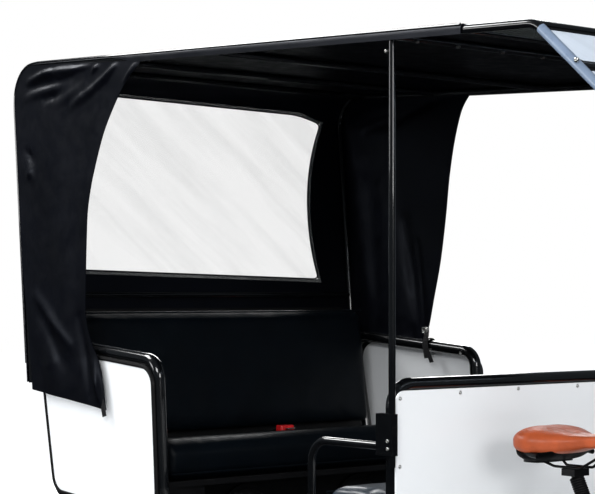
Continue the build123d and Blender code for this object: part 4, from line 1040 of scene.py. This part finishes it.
def makeStrap(name, side):
    def strapRun(run):
        return [(strapSet["x"] + x, side * y, z) for x, y, z in run]

    ring = []
    for step in range(13):
        angle = 2 * pi * step / 12
        y, z = strapSet["ring"] * cos(angle), strapSet["ring"] * sin(angle)
        ring.append((0, strapSet["y"] + y, strapSet["railZ"] + z))
    width, thickness = strapSet["width"], strapSet["thickness"]
    parts = [
        makeRibbon("strapRing", strapRun(ring), width, (1, 0, 0), thickness),
        makeRibbon("strapRise", strapRun(strapSet["rise"]), width, (1, 0, 0.1), thickness),
    ]
    for tail in strapSet["tails"]:
        parts.append(makeRibbon("strapTail", strapRun(tail), width * 0.8, (1, 0, 0.15), thickness))
    settle(joinPieces(name, parts), "webbing", smooth=50)
    size, (middle,) = strapSet["buckle"], strapRun([strapSet["buckleMiddle"]])
    buckle = makeBlock(size, middle, 0.002)
    insetFaces(buckle, lambda face: abs(face.normal.y) > 0.9 and face.area > 0.0003, [(0.004, -0.0022)])
    bar = makeBlock((size[0] * 0.86, 0.005, 0.0035), middle, 0.001)
    tongue = makeBlock((0.012, 0.004, 0.02), (middle[0] + 0.004, middle[1] - side * 0.003, middle[2] - 0.002), 0.0012)
    settle(joinPieces(name + "Buckle", [buckle, bar, tongue]), "boltZinc")


makeStrap("wingStrapLeft", 1)

# tab at the wings' lowest front corners: X and Z from the corner, and Y
tabSet = {"run": [(-0.02, 0.715, 0.03), (-0.012, 0.7165, 0.008), (-0.006, 0.715, -0.02)], "width": 0.02}
for sideName, side in bothSides:
    lowX, lowZ = wingSet[sideName.lower()]["frontEdge"][-1]
    tab = [(lowX + x, side * y, lowZ + z) for x, y, z in tabSet["run"]]
    piece = makeRibbon("wingTab" + sideName, tab, tabSet["width"], (1, 0, 0.3), 0.0022)
    settle(piece, "webbing", smooth=50)
print("straps made")


# seat belt: webbing out of the seam, tongue in the buckle
beltSet = {
    "run": [(-1.3, 0.155, 0.757), (-1.285, 0.152, 0.77), (-1.262, 0.15, 0.7755), (-1.245, 0.15, 0.7765)],
    "width": 0.04, "thickness": 0.0022, "tongue": (0.026, 0.03, 0.004), "tongueMiddle": (-1.216, 0.15, 0.777),
}
belt = makeRibbon("beltWebbing", beltSet["run"], beltSet["width"], (0, 1, 0), beltSet["thickness"])
settle(belt, "webbing", smooth=50)
tongue = makeBlock(beltSet["tongue"], beltSet["tongueMiddle"], 0.001)
insetFaces(tongue, lambda face: face.normal.z > 0.9 and face.area > 0.0004, [(0.006, -0.0022)])
tongue.name = "beltTongue"
settle(tongue, "boltZinc")


# pale sleeves on the visor's side rails: painted reflection, their pale blue colour stands in for the sky reflected
# along the glossy rails
sleeveSet = {"start": (0.716, 1.8478), "end": (0.968, 1.6288), "y": 0.699, "radius": 0.0122}
for sideName, side in bothSides:
    (x0, z0), (x1, z1) = sleeveSet["start"], sleeveSet["end"]
    run = [(x0 + (x1 - x0) * t, side * sleeveSet["y"], z0 + (z1 - z0) * t) for t in (0.0, 0.02, 0.5, 0.98, 1.0)]
    settle(tubeAlong("visorPaintedSheenSleeve" + sideName, run, sleeveSet["radius"], sides=16), "paintedRailReflection")


# welts: round the window opening, along the roof's side edges and along its front hem
weltSet = {
    "radius": 0.003, "out": 0.0098, "roofRadius": 0.0042, "roofOut": 0.0108, "roofY": 0.7112, "wallRun": 0.85,
    "hemOut": 0.01, "hemHalf": 0.705,
}


# a place on the window's edge: its share of the half width, and its share of the way down
def windowPoint(share, part):
    y = share * windowHalf(part)
    top, low = windowWays(y)
    place = clothPoint(top + part * (low - top), weltSet["out"])
    return (place.x, y, place.y)


windowOutline = [windowPoint(1, step / 14) for step in range(15)]
windowOutline += [windowPoint(1 - step / 10, 1) for step in range(1, 20)]
windowOutline += [windowPoint(-1, 1 - step / 14) for step in range(15)]
windowOutline += [windowPoint(-1 + step / 10, 0) for step in range(1, 20)]
settle(tubeAlong("windowWelt", windowOutline, weltSet["radius"], closed=True), "canopyVinyl")

for sideName, side in bothSides:
    run = []
    for step in range(61):
        place = clothPoint(0.004 + (roofLength + arcLength + weltSet["wallRun"]) * step / 60, weltSet["roofOut"])
        run.append((place.x, side * weltSet["roofY"], place.y))
    settle(tubeAlong("roofWelt" + sideName, run, weltSet["roofRadius"], sides=8), "tubeBlack")
hem = clothPoint(0.003, weltSet["hemOut"])
hemRun = [(hem.x, weltSet["hemHalf"] * (step / 10 - 1), hem.y) for step in range(21)]
settle(tubeAlong("frontHemWelt", hemRun, weltSet["roofRadius"], sides=8), "canopyVinyl")
print("welts made")


# piping along the pads' edges: X, Z and half length
pipingSet = {
    "rearSeatFront": (-0.83, 0.696, 0.628), "backTop": (-1.3745, 1.176, 0.62),
    "frontSeatEdge": (-0.1625, 0.699, 0.592),
}
for pipeName, (x, z, half) in pipingSet.items():
    run = [(x, -half + 2 * half * step / 24, z) for step in range(25)]
    settle(tubeAlong(pipeName + "Piping", run, 0.0034, sides=8), "seatVinyl")


def shellShape(pole, place, angle):
    half, crown, skirt = saddleSection(place)
    ends = sqrt(max(0.0, 1 - abs(pole) ** 6))
    across = fullCosine(angle, 0.6) * half * 0.9 * ends
    depth = 0.01 if sin(angle) > 0 else 0.02 * smoothStep(-place, -0.02, 0.1) + 0.006
    lift = 0.006 + 0.009 * smoothStep(place, -0.05, 0.03)
    return across, skirt + lift + sin(angle) * depth * ends


# black shell and edge bumper under each saddle, seam stitching along its crown
def makeSaddleBase(name, side):
    settle(saddleBody(name, side, 40, 30, -0.006, -0.01, shellShape), "shellBlack", smooth=60)
    # bumper round the tail
    run = []
    for step in range(17):
        turn = radians(-100 + 200 * step / 16)
        back, across = cos(turn), sin(turn)
        run.append(saddlePoint(side, -0.05 - 0.096 * back, 0.108 * across, 0.046 + 0.012 * back))
    settle(tubeAlong(name + "Bumper", run, 0.0068, sides=12), "satinBlack")
    # stitched seam on each flank
    seams = []
    for flank in (1, -1):
        run = []
        for step in range(30):
            place = -0.105 + 0.225 * step / 29
            half, crown, skirt = saddleSection(place)
            height = skirt + (crown - skirt) * (0.45 + 0.55 * 0.74) + 0.0006
            run.append(saddlePoint(side, place, flank * half * 0.72, height))
        seams.append(tubeAlong("seam", run, 0.0011, sides=6))
    settle(joinPieces(name + "Seams", seams), "saddleThread")


makeSaddleBase("saddleShellRight", -1)
makeSaddleBase("saddleShellLeft", 1)


def makeRing(radius, wire, segments, sides):
    deselectAll()
    bpy.ops.mesh.primitive_torus_add(
        major_radius=radius, minor_radius=wire, major_segments=segments, minor_segments=sides,
    )
    return bpy.context.object


# rubber bellows on the seat posts
bellowsSet = {
    "top": (0.4655, 0.766), "fall": (0.435, -0.9), "count": 9, "pitch": 0.0062, "radius": 0.016, "wire": 0.0034,
}
for sideName, side in bothSides:
    fold = makeRing(bellowsSet["radius"], bellowsSet["wire"], 28, 8)
    (topX, topZ), (fallX, fallZ) = bellowsSet["top"], bellowsSet["fall"]
    places = []
    for step in range(bellowsSet["count"]):
        reach = step * bellowsSet["pitch"]
        places.append(((topX + fallX * reach, side * saddleSet["y"], topZ + fallZ * reach), (-fallX, 0, -fallZ)))
    spreadCopies("postBellows" + sideName, fold, places, "rubberBlack", smooth=60)
print("saddle parts made")


# ribs on the grips
gripSet = {
    "outer": (0.83, 0.544, 1.0137), "inner": (0.83, 0.036, 1.0137), "way": (0.484, 0.871, 0.0775),
    "count": 17, "first": 0.008, "pitch": 0.0062, "radius": 0.0152, "wire": 0.0022,
}
for sideName, side, body in (("Right", -1, "steering_column"), ("Left", 1, "vehicle")):
    rib = makeRing(gripSet["radius"], gripSet["wire"], 24, 6)
    places = []
    for place, turn in ((gripSet["outer"], -1), (gripSet["inner"], 1)):
        way = Vector((gripSet["way"][0], turn * side * gripSet["way"][1], gripSet["way"][2]))
        start = Vector((place[0], side * place[1], place[2]))
        for step in range(gripSet["count"]):
            places.append((start + way * (gripSet["first"] + step * gripSet["pitch"]), way))
    spreadCopies("gripRibs" + sideName, rib, places, "gripRubber", smooth=60, body=body)

# mesh in the loudspeaker rings: rim, step and cone as widths and depths
speakerSet = {
    "x": -0.96, "y": 0.24, "z": 0.525, "radius": 0.0965, "thickness": 0.0012,
    "steps": [(0.006, 0.004), (0.03, 0.005), (0.036, 0.002)],
}
for sideName, side in bothSides:
    deselectAll()
    bpy.ops.mesh.primitive_circle_add(vertices=48, radius=speakerSet["radius"], fill_type="NGON")
    cone = justAdded("speakerMesh" + sideName)
    insetFaces(cone, lambda face: True, speakerSet["steps"])
    standAt(cone, (speakerSet["x"], side * speakerSet["y"], speakerSet["z"]), (1, 0, 0))
    applyPlace(cone)
    thicken(cone, speakerSet["thickness"])
    settle(cone, "speakerMesh", smooth=50)
print("grips and speakers made")
